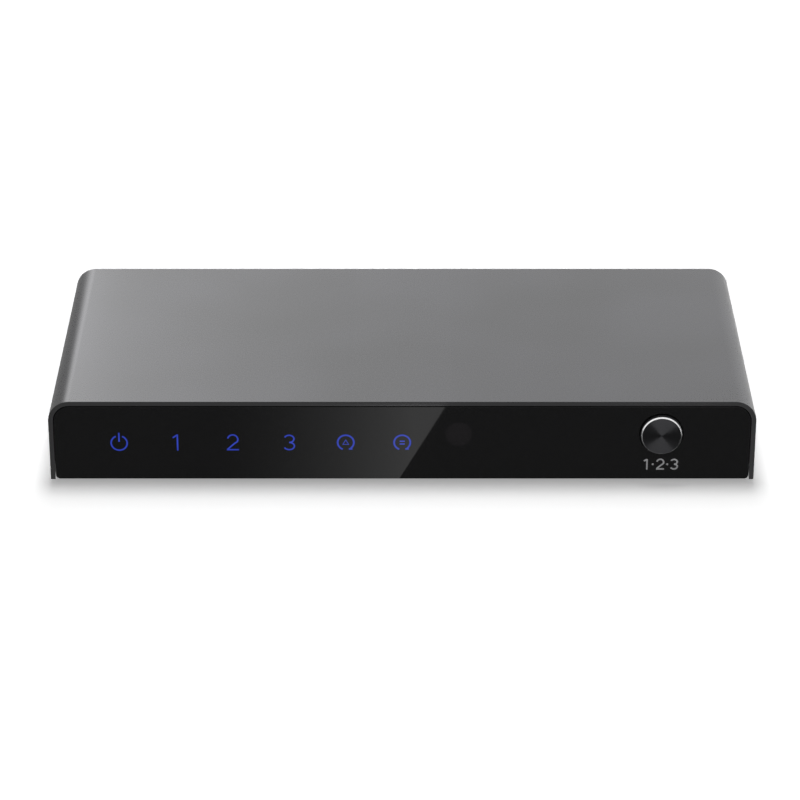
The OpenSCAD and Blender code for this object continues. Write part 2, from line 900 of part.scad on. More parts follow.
module regulator() {
  lead_h = 0.06 * regulator_w;
  color([0.13, 0.13, 0.13])
    translate([-1.85 * socket_pitch, board_mid_y + can_pitch, board_top]) {
      block(
        [-regulator_w / 2, -regulator_w / 4, lead_h / 2],
        [regulator_w / 2, regulator_w / 4, regulator_w / 4]
      );
      block([-regulator_w / 4, 0, 0], [regulator_w / 4, regulator_w / 2, lead_h]);
      for (i = [-1 : 1])
        translate([i * regulator_w / 3, 0, 0])
          block([-regulator_w / 18, -regulator_w / 2, 0], [regulator_w / 18, 0, lead_h]);
    }
}

module inductor() {
  color([0.3, 0.3, 0.31])
    translate([-1.85 * socket_pitch, board_mid_y, board_top]) {
      translate([-inductor_w / 2, -inductor_w / 2, 0])
        cube([inductor_w, inductor_w, inductor_h / 4]);
      cylinder(d = 0.95 * inductor_w, h = inductor_h);
    }
}

module crystal() {
  w = crystal_w;
  d = 0.64 * crystal_w;
  rim = 0.06 * crystal_w;
  color([0.8, 0.8, 0.8])
    translate([-0.8 * socket_pitch, board_mid_y, board_top]) {
      block([-w / 2, -d / 2, 0], [w / 2, d / 2, crystal_h / 2]);
      block([-w / 2 + rim, -d / 2 + rim, 0], [w / 2 - rim, d / 2 - rim, crystal_h]);
    }
}

module capacitors() {
  color([0.75, 0.75, 0.78])
    for (i = [0, 1])
      translate([-2.25 * socket_pitch, board_mid_y + i * can_pitch, board_top]) {
        translate([-can_d / 2 - slip_fit, -can_d / 2 - slip_fit, 0])
          cube([can_d + 2 * slip_fit, can_d + 2 * slip_fit, can_h / 9]);
        cylinder(d = can_d, h = can_h);
      }
}

top_cover();
chassis_tray();
front_panel();
panel_tape();
icon_film();
light_shade();
led_1();
led_2();
led_3();
led_4();
led_5();
led_6();
ir_receiver();
button_cap();
button_stem();
tact_frame();
tact_base();
tact_dome();
tact_plunger();
main_board();
standoffs();
board_screws();
cover_screws();
foot_front_left();
foot_front_right();
foot_rear_left();
foot_rear_right();
output_shell();
output_tongue();
output_contacts();
input_1_shell();
input_1_tongue();
input_1_contacts();
input_2_shell();
input_2_tongue();
input_2_contacts();
input_3_shell();
input_3_tongue();
input_3_contacts();
power_body();
power_pin();
switch_chip();
control_chip();
regulator();
inductor();
crystal();
capacitors();
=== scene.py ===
# Low metal video switch box: bent grey cover, gloss black front with lit symbols, one spun push button
import bmesh
import bpy
import json
import math
from mathutils import Matrix, Vector

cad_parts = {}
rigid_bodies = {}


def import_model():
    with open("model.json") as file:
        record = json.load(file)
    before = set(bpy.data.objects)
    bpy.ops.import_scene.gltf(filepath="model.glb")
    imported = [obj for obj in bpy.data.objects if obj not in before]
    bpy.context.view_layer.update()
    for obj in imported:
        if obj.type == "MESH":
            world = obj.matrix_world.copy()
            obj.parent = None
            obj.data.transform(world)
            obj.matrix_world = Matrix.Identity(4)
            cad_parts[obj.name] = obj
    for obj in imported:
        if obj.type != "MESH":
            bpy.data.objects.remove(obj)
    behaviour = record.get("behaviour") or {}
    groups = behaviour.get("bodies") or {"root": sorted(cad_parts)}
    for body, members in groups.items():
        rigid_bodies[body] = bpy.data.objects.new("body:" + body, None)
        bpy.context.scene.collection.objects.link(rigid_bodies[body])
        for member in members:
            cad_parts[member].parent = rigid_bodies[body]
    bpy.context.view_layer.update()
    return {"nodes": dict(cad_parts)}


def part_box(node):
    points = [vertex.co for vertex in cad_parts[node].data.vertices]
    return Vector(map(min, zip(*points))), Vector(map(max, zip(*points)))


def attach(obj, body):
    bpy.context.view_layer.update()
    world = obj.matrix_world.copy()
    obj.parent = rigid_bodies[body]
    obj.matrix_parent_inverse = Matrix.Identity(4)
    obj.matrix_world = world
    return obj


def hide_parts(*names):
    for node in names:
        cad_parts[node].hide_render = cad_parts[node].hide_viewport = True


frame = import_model()
nodes = frame["nodes"]
mm = 0.001
print("frame loaded:", len(nodes), "solids")


def toLinear(code):  # sRGB hex to linear colour
    parts = [int(code[i:i + 2], 16) / 255 for i in (0, 2, 4)]
    return tuple(c / 12.92 if c <= 0.04045 else ((c + 0.055) / 1.055) ** 2.4 for c in parts) + (1.0,)


def addNode(tree, kind, inputs=None, **settings):  # a node given as an input stands for its first output
    node = tree.nodes.new(kind)
    for name, value in settings.items():
        setattr(node, name, value)
    for key, value in (inputs or {}).items():
        for item in value if isinstance(value, list) else [value]:
            source = item.outputs[0] if isinstance(item, bpy.types.Node) else item
            if isinstance(source, bpy.types.NodeSocket):
                tree.links.new(source, node.inputs[key])
            else:
                node.inputs[key].default_value = source
    return node


def newMaterial(name):
    material = bpy.data.materials.new(name)
    material.use_nodes = True
    tree = material.node_tree
    tree.nodes.clear()
    return material, tree, addNode(tree, "ShaderNodeTexCoord").outputs["Object"]


def closeMaterial(material, inputs, shader="ShaderNodeBsdfPrincipled"):
    tree = material.node_tree
    addNode(tree, "ShaderNodeOutputMaterial", {"Surface": addNode(tree, shader, inputs)})
    return material


def twoTones(tree, factor, first, second, start=0.3, end=0.7):
    ramp = addNode(tree, "ShaderNodeValToRGB", {"Fac": factor})
    for stop, position, code in zip(ramp.color_ramp.elements, (start, end), (first, second)):
        stop.position = position
        stop.color = toLinear(code)
    return ramp


# Satin anodised aluminium: bead-blasted before dyeing, so it mirrors its surroundings very softly;
# the dyed film keeps grazing glare down
def satinAluminium(name, low, high):
    material, tree, where = newMaterial(name)
    # 0.05 mm blast grit, drawn at 0.25 mm, over an uneven dye bath
    grit = addNode(tree, "ShaderNodeTexNoise", {"Vector": where, "Scale": 1 / (0.25 * mm), "Detail": 2.0})
    dye = addNode(tree, "ShaderNodeTexNoise", {"Vector": where, "Scale": 1 / (30 * mm), "Detail": 1.0})
    rough = addNode(tree, "ShaderNodeMapRange", {"Value": grit, "To Min": low, "To Max": high})
    bump = addNode(tree, "ShaderNodeBump", {"Height": grit, "Strength": 0.04, "Distance": 0.02 * mm})
    return closeMaterial(material, {
        "Base Color": twoTones(tree, dye, "777778", "7b7b7d"),
        "Metallic": 1.0,
        "Specular Tint": (0.68, 0.68, 0.68, 1),
        "Roughness": rough,
        "Normal": bump,
    })


windowParts = {"centre": (12 * mm, 0, 11.4 * mm), "radius": 2.6 * mm, "fade": 0.3 * mm}


# Polished black acrylic: deep black under a mirror-clear face, with a round infrared window a shade lighter
def polishedAcrylic():
    material, tree, where = newMaterial("polishedBlackAcrylic")
    axes = addNode(tree, "ShaderNodeSeparateXYZ", {"Vector": where}).outputs
    flat = addNode(tree, "ShaderNodeCombineXYZ", {"X": axes["X"], "Z": axes["Z"]})
    away = addNode(tree, "ShaderNodeVectorMath", {0: flat, 1: windowParts["centre"]}, operation="DISTANCE")
    outside = addNode(tree, "ShaderNodeMapRange", {
        "Value": away.outputs["Value"],
        "From Min": windowParts["radius"],
        "From Max": windowParts["radius"] + windowParts["fade"],
    })
    # haze of the polishing wheel
    haze = addNode(tree, "ShaderNodeTexNoise", {"Vector": where, "Scale": 1 / (9 * mm), "Detail": 3.0})
    return closeMaterial(material, {
        "Base Color": twoTones(tree, outside, "1a181a", "0a0a0b", 0.0, 1.0),
        "Roughness": addNode(tree, "ShaderNodeMapRange", {"Value": haze, "To Min": 0.03, "To Max": 0.06}),
        "IOR": 1.49,
    })


# Spun aluminium, dyed dark: fine turning marks round the centre spread each reflection along the radius
def spunAluminium():
    material, tree = newMaterial("spunDarkAluminium")[:2]
    spin = addNode(tree, "ShaderNodeUVMap", uv_map="spin")
    radius = addNode(tree, "ShaderNodeSeparateXYZ", {"Vector": spin}).outputs["X"]
    # 0.05 mm feed, drawn at 0.12 mm; the map holds the radius in millimetres
    feed = {"W": radius, "Scale": 1 / 0.12, "Detail": 3.0}
    marks = addNode(tree, "ShaderNodeTexNoise", feed, noise_dimensions="1D")
    return closeMaterial(material, {
        "Base Color": twoTones(tree, marks, "3c3c3e", "444446"),
        "Metallic": 1.0,
        "Roughness": 0.36,
        "Anisotropic": 1.0,
        "Tangent": addNode(tree, "ShaderNodeTangent", direction_type="UV_MAP", uv_map="spin"),
        "Normal": addNode(tree, "ShaderNodeBump", {"Height": marks, "Strength": 0.05, "Distance": 0.01 * mm}),
    })


# Diamond-cut aluminium: bare bright metal where the tool took the dye off the edge
def cutAluminium():
    material, tree, where = newMaterial("diamondCutAluminium")
    # tool chatter
    marks = addNode(tree, "ShaderNodeTexNoise", {"Vector": where, "Scale": 1 / (0.3 * mm), "Detail": 2.0})
    return closeMaterial(material, {
        "Base Color": twoTones(tree, marks, "eeeeef", "f5f5f6"),
        "Metallic": 1.0,
        "Roughness": addNode(tree, "ShaderNodeMapRange", {"Value": marks, "To Min": 0.18, "To Max": 0.26}),
    })


# Printed film lit from behind: blue, brightest over each lamp and falling off to the symbol's ends
def litFilm(pitch, centreZ, fade):
    material, tree, where = newMaterial("litBlueFilm")
    axes = addNode(tree, "ShaderNodeSeparateXYZ", {"Vector": where}).outputs
    across = addNode(tree, "ShaderNodeMath", {0: axes["X"], 1: pitch / 2}, operation="PINGPONG")
    up = addNode(tree, "ShaderNodeMath", {0: axes["Z"], 1: centreZ}, operation="SUBTRACT")
    flat = addNode(tree, "ShaderNodeCombineXYZ", {"X": across, "Z": up})
    away = addNode(tree, "ShaderNodeVectorMath", {0: flat}, operation="LENGTH").outputs["Value"]
    fall = addNode(tree, "ShaderNodeMapRange", {"Value": away, "From Min": 0.0, "From Max": fade})
    return closeMaterial(material, {
        "Base Color": toLinear("0a0c1c"),
        "Roughness": 0.12,
        "IOR": 1.49,
        "Emission Color": twoTones(tree, fall, "3145b9", "2134a0", 0.0, 1.0),
        "Emission Strength": 1.0,
    })


# Screen-printed ink: thin grey film, slightly uneven where the mesh laid it down
def screenInk():
    material, tree, where = newMaterial("greyScreenInk")
    # 120-thread screen
    mesh = addNode(tree, "ShaderNodeTexNoise", {"Vector": where, "Scale": 1 / (0.1 * mm), "Detail": 1.0})
    ink = twoTones(tree, mesh, "a2a2a4", "aeaeb0")
    return closeMaterial(material, {"Base Color": ink, "Roughness": 0.5, "IOR": 1.5})


# Powder-coated steel: fine black orange peel, low sheen
def powderCoat():
    material, tree, where = newMaterial("blackPowderCoat")
    # 0.4 mm orange peel, drawn at 0.6 mm
    peel = addNode(tree, "ShaderNodeTexNoise", {"Vector": where, "Scale": 1 / (0.6 * mm), "Detail": 2.0})
    return closeMaterial(material, {
        "Base Color": twoTones(tree, peel, "151516", "1b1b1c"),
        "Roughness": addNode(tree, "ShaderNodeMapRange", {"Value": peel, "To Min": 0.5, "To Max": 0.64}),
        "IOR": 1.5,
        "Normal": addNode(tree, "ShaderNodeBump", {"Height": peel, "Strength": 0.35, "Distance": 0.05 * mm}),
    })


# Moulded plastic: matt skin with a fine spark-eroded grain from the mould, its width in millimetres
def mouldedPlastic(name, dark, light, grain=0.3, rough=0.45):
    material, tree, where = newMaterial(name)
    spread = 0.06
    skin = addNode(tree, "ShaderNodeTexNoise", {"Vector": where, "Scale": 1 / (grain * mm), "Detail": 3.0})
    gloss = {"Value": skin, "To Min": rough - spread, "To Max": rough + spread}
    return closeMaterial(material, {
        "Base Color": twoTones(tree, skin, dark, light),
        "Roughness": addNode(tree, "ShaderNodeMapRange", gloss),
        "IOR": 1.5,
        "Normal": addNode(tree, "ShaderNodeBump", {"Height": skin, "Strength": 0.2, "Distance": 0.03 * mm}),
    })


# Plated metal: bright plating over rolled sheet or drawn wire, with faint draw lines and a slightly
# clouded bath; lines squeezes the pattern along the way it was drawn
def platedMetal(name, dark, light, lines=(1.0, 0.08, 1.0), rough=0.26):
    material, tree, where = newMaterial(name)
    smoother, duller = 0.06, 0.08
    drawn = addNode(tree, "ShaderNodeMapping", {"Vector": where, "Scale": lines})
    # 0.02 mm draw lines, drawn at 0.2 mm
    streak = addNode(tree, "ShaderNodeTexNoise", {"Vector": drawn, "Scale": 1 / (0.2 * mm), "Detail": 2.0})
    cloud = addNode(tree, "ShaderNodeTexNoise", {"Vector": where, "Scale": 1 / (4 * mm), "Detail": 2.0})
    gloss = {"Value": streak, "To Min": rough - smoother, "To Max": rough + duller}
    return closeMaterial(material, {
        "Base Color": twoTones(tree, cloud, dark, light),
        "Metallic": 1.0,
        "Roughness": addNode(tree, "ShaderNodeMapRange", gloss),
    })


# Rubber: dead matt black with a faint grey bloom
def rubber():
    material, tree, where = newMaterial("mattBlackRubber")
    bloom = addNode(tree, "ShaderNodeTexNoise", {"Vector": where, "Scale": 1 / (1.5 * mm), "Detail": 4.0})
    skin = addNode(tree, "ShaderNodeTexNoise", {"Vector": where, "Scale": 1 / (0.15 * mm), "Detail": 1.0})
    return closeMaterial(material, {
        "Base Color": twoTones(tree, bloom, "161616", "222222"),
        "Roughness": 0.85,
        "IOR": 1.52,
        "Normal": addNode(tree, "ShaderNodeBump", {"Height": skin, "Strength": 0.3, "Distance": 0.03 * mm}),
    })


# Solder resist over copper: satin green with darker lanes where there is no copper underneath
def solderResist():
    material, tree, where = newMaterial("greenSolderResist")
    lanes = addNode(tree, "ShaderNodeTexBrick", {
        "Vector": where,
        "Color1": toLinear("1d5a37"),
        "Color2": toLinear("195032"),
        "Mortar": toLinear("0f3a24"),
        "Scale": 1.0,
        "Brick Width": 4 * mm,
        "Row Height": 0.8 * mm,
        "Mortar Size": 0.12 * mm,
    })
    return closeMaterial(material, {"Base Color": lanes, "Roughness": 0.35, "IOR": 1.55})


def addObject(name, data):
    piece = bpy.data.objects.new(name, data)
    bpy.context.scene.collection.objects.link(piece)
    return piece


def smoothed(piece, sharp=35):  # edges past this many degrees stay sharp
    for face in piece.data.polygons:
        face.use_smooth = True
    piece.data.set_sharp_from_angle(angle=math.radians(sharp))
    return piece


def meshPiece(name, mesh, materials, sharp=35):
    for material in materials:
        mesh.materials.append(material)
    return smoothed(addObject(name, mesh), sharp)


def evaluatedMesh(piece):
    bpy.context.view_layer.update()
    return bpy.data.meshes.new_from_object(piece.evaluated_get(bpy.context.evaluated_depsgraph_get()))


def freeze(piece):  # live modifiers become plain mesh
    made = evaluatedMesh(piece)
    piece.modifiers.clear()
    piece.data = made
    return piece


def softenEdges(piece, width, steps=2, angle=40):
    bevel = piece.modifiers.new("edges", "BEVEL")
    bevel.width = width
    bevel.segments = steps
    bevel.limit_method = "ANGLE"
    bevel.angle_limit = math.radians(angle)
    bevel.harden_normals = True
    return freeze(piece)


def cutAway(piece, cutter):  # the cutter is thrown away once it has cut
    cut = piece.modifiers.new(cutter.name, "BOOLEAN")
    cut.object = cutter
    cut.solver = "EXACT"
    freeze(piece)
    bpy.data.objects.remove(cutter)


def cleaned(builder, name):
    bmesh.ops.remove_doubles(builder, verts=builder.verts, dist=1e-7)
    bmesh.ops.recalc_face_normals(builder, faces=builder.faces)
    mesh = bpy.data.meshes.new(name)
    builder.to_mesh(mesh)
    builder.free()
    return mesh


def arc(x, y, r, start, end, steps=16, squash=1.0):  # angles in degrees
    angles = [math.radians(start + (end - start) * i / steps) for i in range(steps + 1)]
    return [(x + r * math.cos(a), y + r * squash * math.sin(a)) for a in angles]


def settle(piece, body, slot, *stoodFor):
    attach(piece, body)
    if stoodFor:
        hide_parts(*stoodFor)
    return piece


coverParts = {
    "sheet": 1.0 * mm,
    "bend": 4.6 * mm,  # outside radius
    "bendSteps": 24,
    "edge": 0.02 * mm,
    "screwY": 20 * mm,
    "screwZ": 6.8 * mm,
    "sinkWide": 2.3 * mm,  # countersink's radius at the outer face of the sheet
    "sinkNarrow": 1.25 * mm,  # and at its inner face
    "sinkProud": 0.5 * mm,  # how far the cutting cone stands out of the sheet
    "sinkDeep": 1.3 * mm,  # and how far it reaches in
}


def coverMesh():
    low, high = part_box("top_cover")
    sheet = coverParts["sheet"]
    bend = coverParts["bend"]
    steps = coverParts["bendSteps"]
    outer = [(low.x, low.z)]
    inner = [(low.x + sheet, low.z)]
    for centreX, start in ((low.x + bend, 180), (high.x - bend, 90)):
        outer += arc(centreX, high.z - bend, bend, start, start - 90, steps)
        inner += arc(centreX, high.z - bend, bend - sheet, start, start - 90, steps)
    outer.append((high.x, low.z))
    inner.append((high.x - sheet, low.z))
    builder = bmesh.new()
    rows = []
    for y in (low.y, high.y):
        rows.append([[builder.verts.new((x, y, z)) for x, z in line] for line in (outer, inner)])
    front, back = rows
    for i in range(len(outer) - 1):
        for line in (0, 1):
            builder.faces.new((front[line][i], front[line][i + 1], back[line][i + 1], back[line][i]))
        for row in rows:
            builder.faces.new((row[0][i], row[0][i + 1], row[1][i + 1], row[1][i]))
    for i in (0, -1):
        builder.faces.new((front[0][i], front[1][i], back[1][i], back[0][i]))
    return cleaned(builder, "coverShell")


def sinkMesh():  # four cones that cut the countersinks
    low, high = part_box("top_cover")
    wide = coverParts["sinkWide"]
    proud = coverParts["sinkProud"]
    deep = coverParts["sinkDeep"]
    slope = (wide - coverParts["sinkNarrow"]) / coverParts["sheet"]
    builder = bmesh.new()
    for side, x in ((-1, low.x), (1, high.x)):
        facing = Matrix.Rotation(side * math.pi / 2, 4, "Y")
        for y in (-coverParts["screwY"], coverParts["screwY"]):
            middle = Matrix.Translation((x - side * (deep - proud) / 2, y, coverParts["screwZ"]))
            bmesh.ops.create_cone(builder, cap_ends=True, segments=48, depth=proud + deep,
                                  radius1=wide - slope * deep, radius2=wide + slope * proud,
                                  matrix=middle @ facing)
    return cleaned(builder, "countersinks")


satin = satinAluminium("satinAluminium", 0.25, 0.31)
milled = satinAluminium("milledEdgeAluminium", 0.06, 0.1)
cover = meshPiece("coverShell", coverMesh(), [satin, milled])
cutAway(cover, meshPiece("countersinks", sinkMesh(), [satin]))
softenEdges(cover, coverParts["edge"])
for face in cover.data.polygons:  # sawn ends of the sheet are milled after blasting
    face.material_index = 1 if abs(face.normal.y) > 0.9 else 0
settle(cover, "housing", "cover_metal", "top_cover")
print("cover bent and countersunk")

panelParts = {
    "edge": 0.03 * mm,
    "gap": 0.2 * mm,  # drawn in from the solid's top edge
    "drop": 0.2 * mm,  # let down past its lower edge
    "reach": 0.05 * mm,  # and out past its sides
    "lowRadius": 0.9 * mm,
    "highRadius": 3.45 * mm,
    "hole": 4.7 * mm,  # radius of the button's hole
    "buttonX": 55 * mm,
    "buttonZ": 11.5 * mm,
}
upright = Matrix.Rotation(math.pi / 2, 4, "X")  # flat drawing stood up, facing the front


def outlineSpline(curve, points, closed=True):
    spline = curve.splines.new("POLY")
    spline.points.add(len(points) - 1)
    for point, (x, y) in zip(spline.points, points):
        point.co = (x, y, 0, 1)
    spline.use_cyclic_u = closed


def curveMesh(curve, place):
    drawn = addObject(curve.name, curve)
    mesh = evaluatedMesh(drawn)
    bpy.data.objects.remove(drawn)
    mesh.transform(place)
    builder = bmesh.new()
    builder.from_mesh(mesh)
    return cleaned(builder, curve.name)


def panelMesh():
    low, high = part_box("front_panel")
    high.z -= panelParts["gap"]
    low.z -= panelParts["drop"]
    low.x -= panelParts["reach"]
    high.x += panelParts["reach"]
    big = panelParts["highRadius"]
    small = panelParts["lowRadius"]
    edge = panelParts["edge"]
    outline = arc(high.x - small, low.z + small, small, -90, 0)
    outline += arc(high.x - big, high.z - big, big, 0, 90)
    outline += arc(low.x + big, high.z - big, big, 90, 180)
    outline += arc(low.x + small, low.z + small, small, 180, 270)
    hole = arc(panelParts["buttonX"], panelParts["buttonZ"], panelParts["hole"], 0, 360, 96)[:-1]
    curve = bpy.data.curves.new("panelPlate", "CURVE")
    curve.dimensions = "2D"
    curve.fill_mode = "BOTH"
    outlineSpline(curve, outline)
    outlineSpline(curve, hole)
    curve.extrude = (high.y - low.y) / 2 - edge
    curve.bevel_depth = edge
    curve.bevel_resolution = 2
    curve.offset = -edge
    return curveMesh(curve, Matrix.Translation((0, (low.y + high.y) / 2, 0)) @ upright)


panel = meshPiece("panelPlate", panelMesh(), [polishedAcrylic()], sharp=60)
weighted = panel.modifiers.new("flatFaces", "WEIGHTED_NORMAL")
weighted.weight = 100
weighted.keep_sharp = True
freeze(panel)
settle(panel, "housing", "panel_acrylic", "front_panel")
print("panel cut")

# Lines of each sign, in millimetres about its middle
signs = {
    "1": [[(-0.72, 1.12), (0.2, 1.78)], [(0.25, 1.9), (0.25, -1.9)]],
    "2": [
        arc(0.0, 0.72, 1.08, 168, -30, 28) + [(0.3, -0.28), (-1.12, -1.62)],
        [(-1.3, -1.71), (1.28, -1.71)],
    ],
    "3": [arc(-0.02, 0.86, 1.02, 155, -90, 28, 0.84), arc(-0.02, -0.84, 1.1, 90, -155, 28, 0.78)],
    "power": [arc(-0.15, -0.12, 1.7, 113, 427, 48), [(-0.15, 0.18), (-0.15, 2.3)]],
    "loop": [arc(0, 0, 1.72, 248, -52, 48), [(1.42, -1.52), (0.66, -1.52)]],
    "triangle": [[(-0.62, -0.45), (0.62, -0.45), (0, 0.62), (-0.62, -0.45)]],
    "bars": [[(-0.55, 0.3), (0.55, 0.3)], [(-0.55, -0.35), (0.55, -0.35)]],
    "dot": [arc(0, 0, 0.12, 0, 360, 12)],
}
symbolParts = {
    "x": 0.0,
    "z": 9.43 * mm,
    "step": 12 * mm,  # pitch of the lamps
    "scale": 1.0 * mm,
    "fade": 2.6 * mm,  # from a lamp's middle to where its light levels off
    "row": [  # steps from the middle, sign and stroke in millimetres
        (-5, "power", 0.34), (-4, "1", 0.33), (-3, "2", 0.33), (-2, "3", 0.33),
        (-1, "loop", 0.38), (-1, "triangle", 0.26), (0, "loop", 0.38), (0, "bars", 0.28),
    ],
}
legendParts = {
    "x": panelParts["buttonX"],
    "z": 4.25 * mm,
    "step": 1.0 * mm,
    "scale": 0.66 * mm,
    "row": [(-3.0, "1", 0.34), (0.0, "2", 0.34), (2.95, "3", 0.34), (-1.6, "dot", 0.3), (1.5, "dot", 0.3)],
}
inkDepth = 0.012 * mm


def strokeMesh(name, parts):  # raised lines on the panel's face
    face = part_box("front_panel")[0].y
    scale = parts["scale"]
    builder = bmesh.new()
    for column, sign, stroke in parts["row"]:
        half = stroke * mm / 2
        curve = bpy.data.curves.new(name, "CURVE")
        curve.dimensions = "3D"
        curve.bevel_depth = half
        curve.bevel_resolution = 2
        curve.use_fill_caps = True
        for line in signs[sign]:
            closed = line[0] == line[-1]
            points = line[:-1] if closed else line
            outlineSpline(curve, [(x * scale, z * scale) for x, z in points], closed)
        place = Matrix.Translation((parts["x"] + column * parts["step"], face, parts["z"]))
        builder.from_mesh(curveMesh(curve, place @ upright @ Matrix.Diagonal((1, 1, inkDepth / half, 1))))
    return cleaned(builder, name)


film = litFilm(symbolParts["step"], symbolParts["z"], symbolParts["fade"])
symbols = meshPiece("litSymbols", strokeMesh("litSymbols", symbolParts), [film])
settle(symbols, "housing", "film")
legend = meshPiece("buttonLegend", strokeMesh("buttonLegend", legendParts), [screenInk()])
settle(legend, "housing", "film")
print("symbols drawn")

buttonParts = {
    "chamfer": 0.28 * mm,
    "dish": 0.06 * mm,  # how far the face sinks to its middle
    "centre": 0.08 * mm,  # radius left at the turning centre
    "faceRings": 20,
    "steps": 128,
    "land": 0.02 * mm,  # flat between the dish and the chamfer
    "round": 0.06 * mm,  # rounding of the chamfer's outer edge, along the cap
    "roundIn": 0.05 * mm,  # and across it
    "backEdge": 0.1 * mm,
    "mapTurns": 20,  # width of the map round the cap
}


def buttonMesh():
    low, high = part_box("button_cap")
    middleX = (high.x + low.x) / 2
    outer = (high.x - low.x) / 2
    inner = outer - buttonParts["chamfer"]
    centre = buttonParts["centre"]
    shoulder = low.y + buttonParts["chamfer"]
    rings = []  # radius, depth and finish, from the middle of the face to the middle of the back
    for i in range(buttonParts["faceRings"] + 1):
        radius = centre + (inner - centre) * i / buttonParts["faceRings"]
        rings.append((radius, low.y + buttonParts["dish"] * (1 - (radius / inner) ** 2), 0))
    rings += [
        (inner + buttonParts["land"], low.y, 1),
        (outer - buttonParts["roundIn"], shoulder - buttonParts["round"], 1),
        (outer, shoulder + buttonParts["round"], 1),
        (outer, high.y - buttonParts["backEdge"], 2),
        (outer - buttonParts["backEdge"], high.y, 2),
        (centre, high.y, 2),
    ]
    steps = buttonParts["steps"]
    builder = bmesh.new()
    spin = builder.loops.layers.uv.new("spin")
    loops = []
    for radius, y, finish in rings:
        circle = arc(middleX, panelParts["buttonZ"], radius, 0, 360, steps)[:-1]
        loops.append([builder.verts.new((x, y, z)) for x, z in circle])
    for k in range(len(rings) - 1):
        for i in range(steps):
            j = (i + 1) % steps
            face = builder.faces.new((loops[k][i], loops[k][j], loops[k + 1][j], loops[k + 1][i]))
            face.material_index = rings[k + 1][2]
            for corner, (ring, step) in zip(face.loops, ((k, i), (k, i + 1), (k + 1, i + 1), (k + 1, i))):
                corner[spin].uv = (rings[ring][0] / mm, step / steps * buttonParts["mapTurns"])
    builder.faces.new(loops[0]).material_index = 0
    builder.faces.new(loops[-1]).material_index = 2
    return cleaned(builder, "buttonCap")


spun = spunAluminium()
button = meshPiece("buttonCap", buttonMesh(), [spun, cutAluminium(), spun], sharp=25)
settle(button, "select_button", "button_metal", "button_cap")
print("button turned")


def newTree(name, sizes):  # one named input for each size
    tree = bpy.data.node_groups.new(name, "GeometryNodeTree")
    tree.interface.new_socket("Geometry", in_out="INPUT", socket_type="NodeSocketGeometry")
    for label in sizes:
        kind = "NodeSocketMaterial" if label == "Finish" else "NodeSocketFloat"
        tree.interface.new_socket(label, in_out="INPUT", socket_type=kind)
    tree.interface.new_socket("Geometry", in_out="OUTPUT", socket_type="NodeSocketGeometry")
    return tree, addNode(tree, "NodeGroupInput").outputs


def closeTree(tree, given, piece, turned=(0, 0, 0)):  # one copy on each point, made real and finished
    copies = {"Points": given["Geometry"], "Instance": piece, "Rotation": turned}
    placed = addNode(tree, "GeometryNodeInstanceOnPoints", copies)
    real = addNode(tree, "GeometryNodeRealizeInstances", {"Geometry": placed})
    finished = addNode(tree, "GeometryNodeSetMaterial", {"Geometry": real, "Material": given["Finish"]})
    addNode(tree, "NodeGroupOutput", {0: finished})
    return tree


def grow(name, tree, sizes, points, facings=()):
    mesh = bpy.data.meshes.new(name)
    mesh.from_pydata(points, [], [])
    if facings:
        for item, facing in zip(mesh.attributes.new("facing", "FLOAT_VECTOR", "POINT").data, facings):
            item.vector = facing
    piece = addObject(name, mesh)
    maker = piece.modifiers.new(name, "NODES")
    maker.node_group = tree
    for item in tree.interface.items_tree:
        if item.name in sizes:
            maker[item.identifier] = sizes[item.name]
    return smoothed(freeze(piece))


def middles(names):
    return [(low + high) / 2 for low, high in map(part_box, names)]


footParts = {"Diameter": 9.0 * mm, "Height": 0.8 * mm, "Edge": 0.25 * mm, "Finish": rubber()}
footNodes = ["foot_front_left", "foot_front_right", "foot_rear_left", "foot_rear_right"]


def footTree():  # a strip with rounded outer corners, swept round the foot's own axis
    tree, given = newTree("turnedFoot", footParts)
    radius = addNode(tree, "ShaderNodeMath", {0: given["Diameter"], 1: 0.5}, operation="MULTIPLY")
    path = addNode(tree, "ShaderNodeMath", {0: given["Diameter"], 1: 0.25}, operation="MULTIPLY")
    section = {"Width": radius, "Height": given["Height"]}
    strip = addNode(tree, "GeometryNodeCurvePrimitiveQuadrilateral", section)
    place = addNode(tree, "GeometryNodeInputPosition")
    across = addNode(tree, "ShaderNodeSeparateXYZ", {0: place}).outputs["X"]
    rim = addNode(tree, "ShaderNodeMath", {0: across, 1: 0.0}, operation="GREATER_THAN")
    corner = addNode(tree, "ShaderNodeMath", {0: rim, 1: given["Edge"]}, operation="MULTIPLY")
    softened = {"Curve": strip, "Count": 5, "Radius": corner}
    profile = addNode(tree, "GeometryNodeFilletCurve", softened, mode="POLY")
    circle = addNode(tree, "GeometryNodeCurvePrimitiveCircle", {"Resolution": 64, "Radius": path})
    swept = addNode(tree, "GeometryNodeCurveToMesh", {"Curve": circle, "Profile Curve": profile})
    closed = addNode(tree, "GeometryNodeMergeByDistance", {"Geometry": swept, "Distance": 0.002 * mm})
    return closeTree(tree, given, closed)


settle(grow("rubberFeet", footTree(), footParts, middles(footNodes)), "housing", "foot_rubber", *footNodes)

screwParts = {
    "Head": 4.5 * mm,
    "Neck": 2.5 * mm,
    "Depth": 1.0 * mm,
    "Slot": 0.66 * mm,  # width of the cross at the face
    "Reach": 2.8 * mm,  # its length
    "Sink": 0.9 * mm,  # and its depth
    "Finish": platedMetal("blackNickelScrew", "4a4a4c", "565658", (1.0, 1.0, 1.0), 0.3),
}


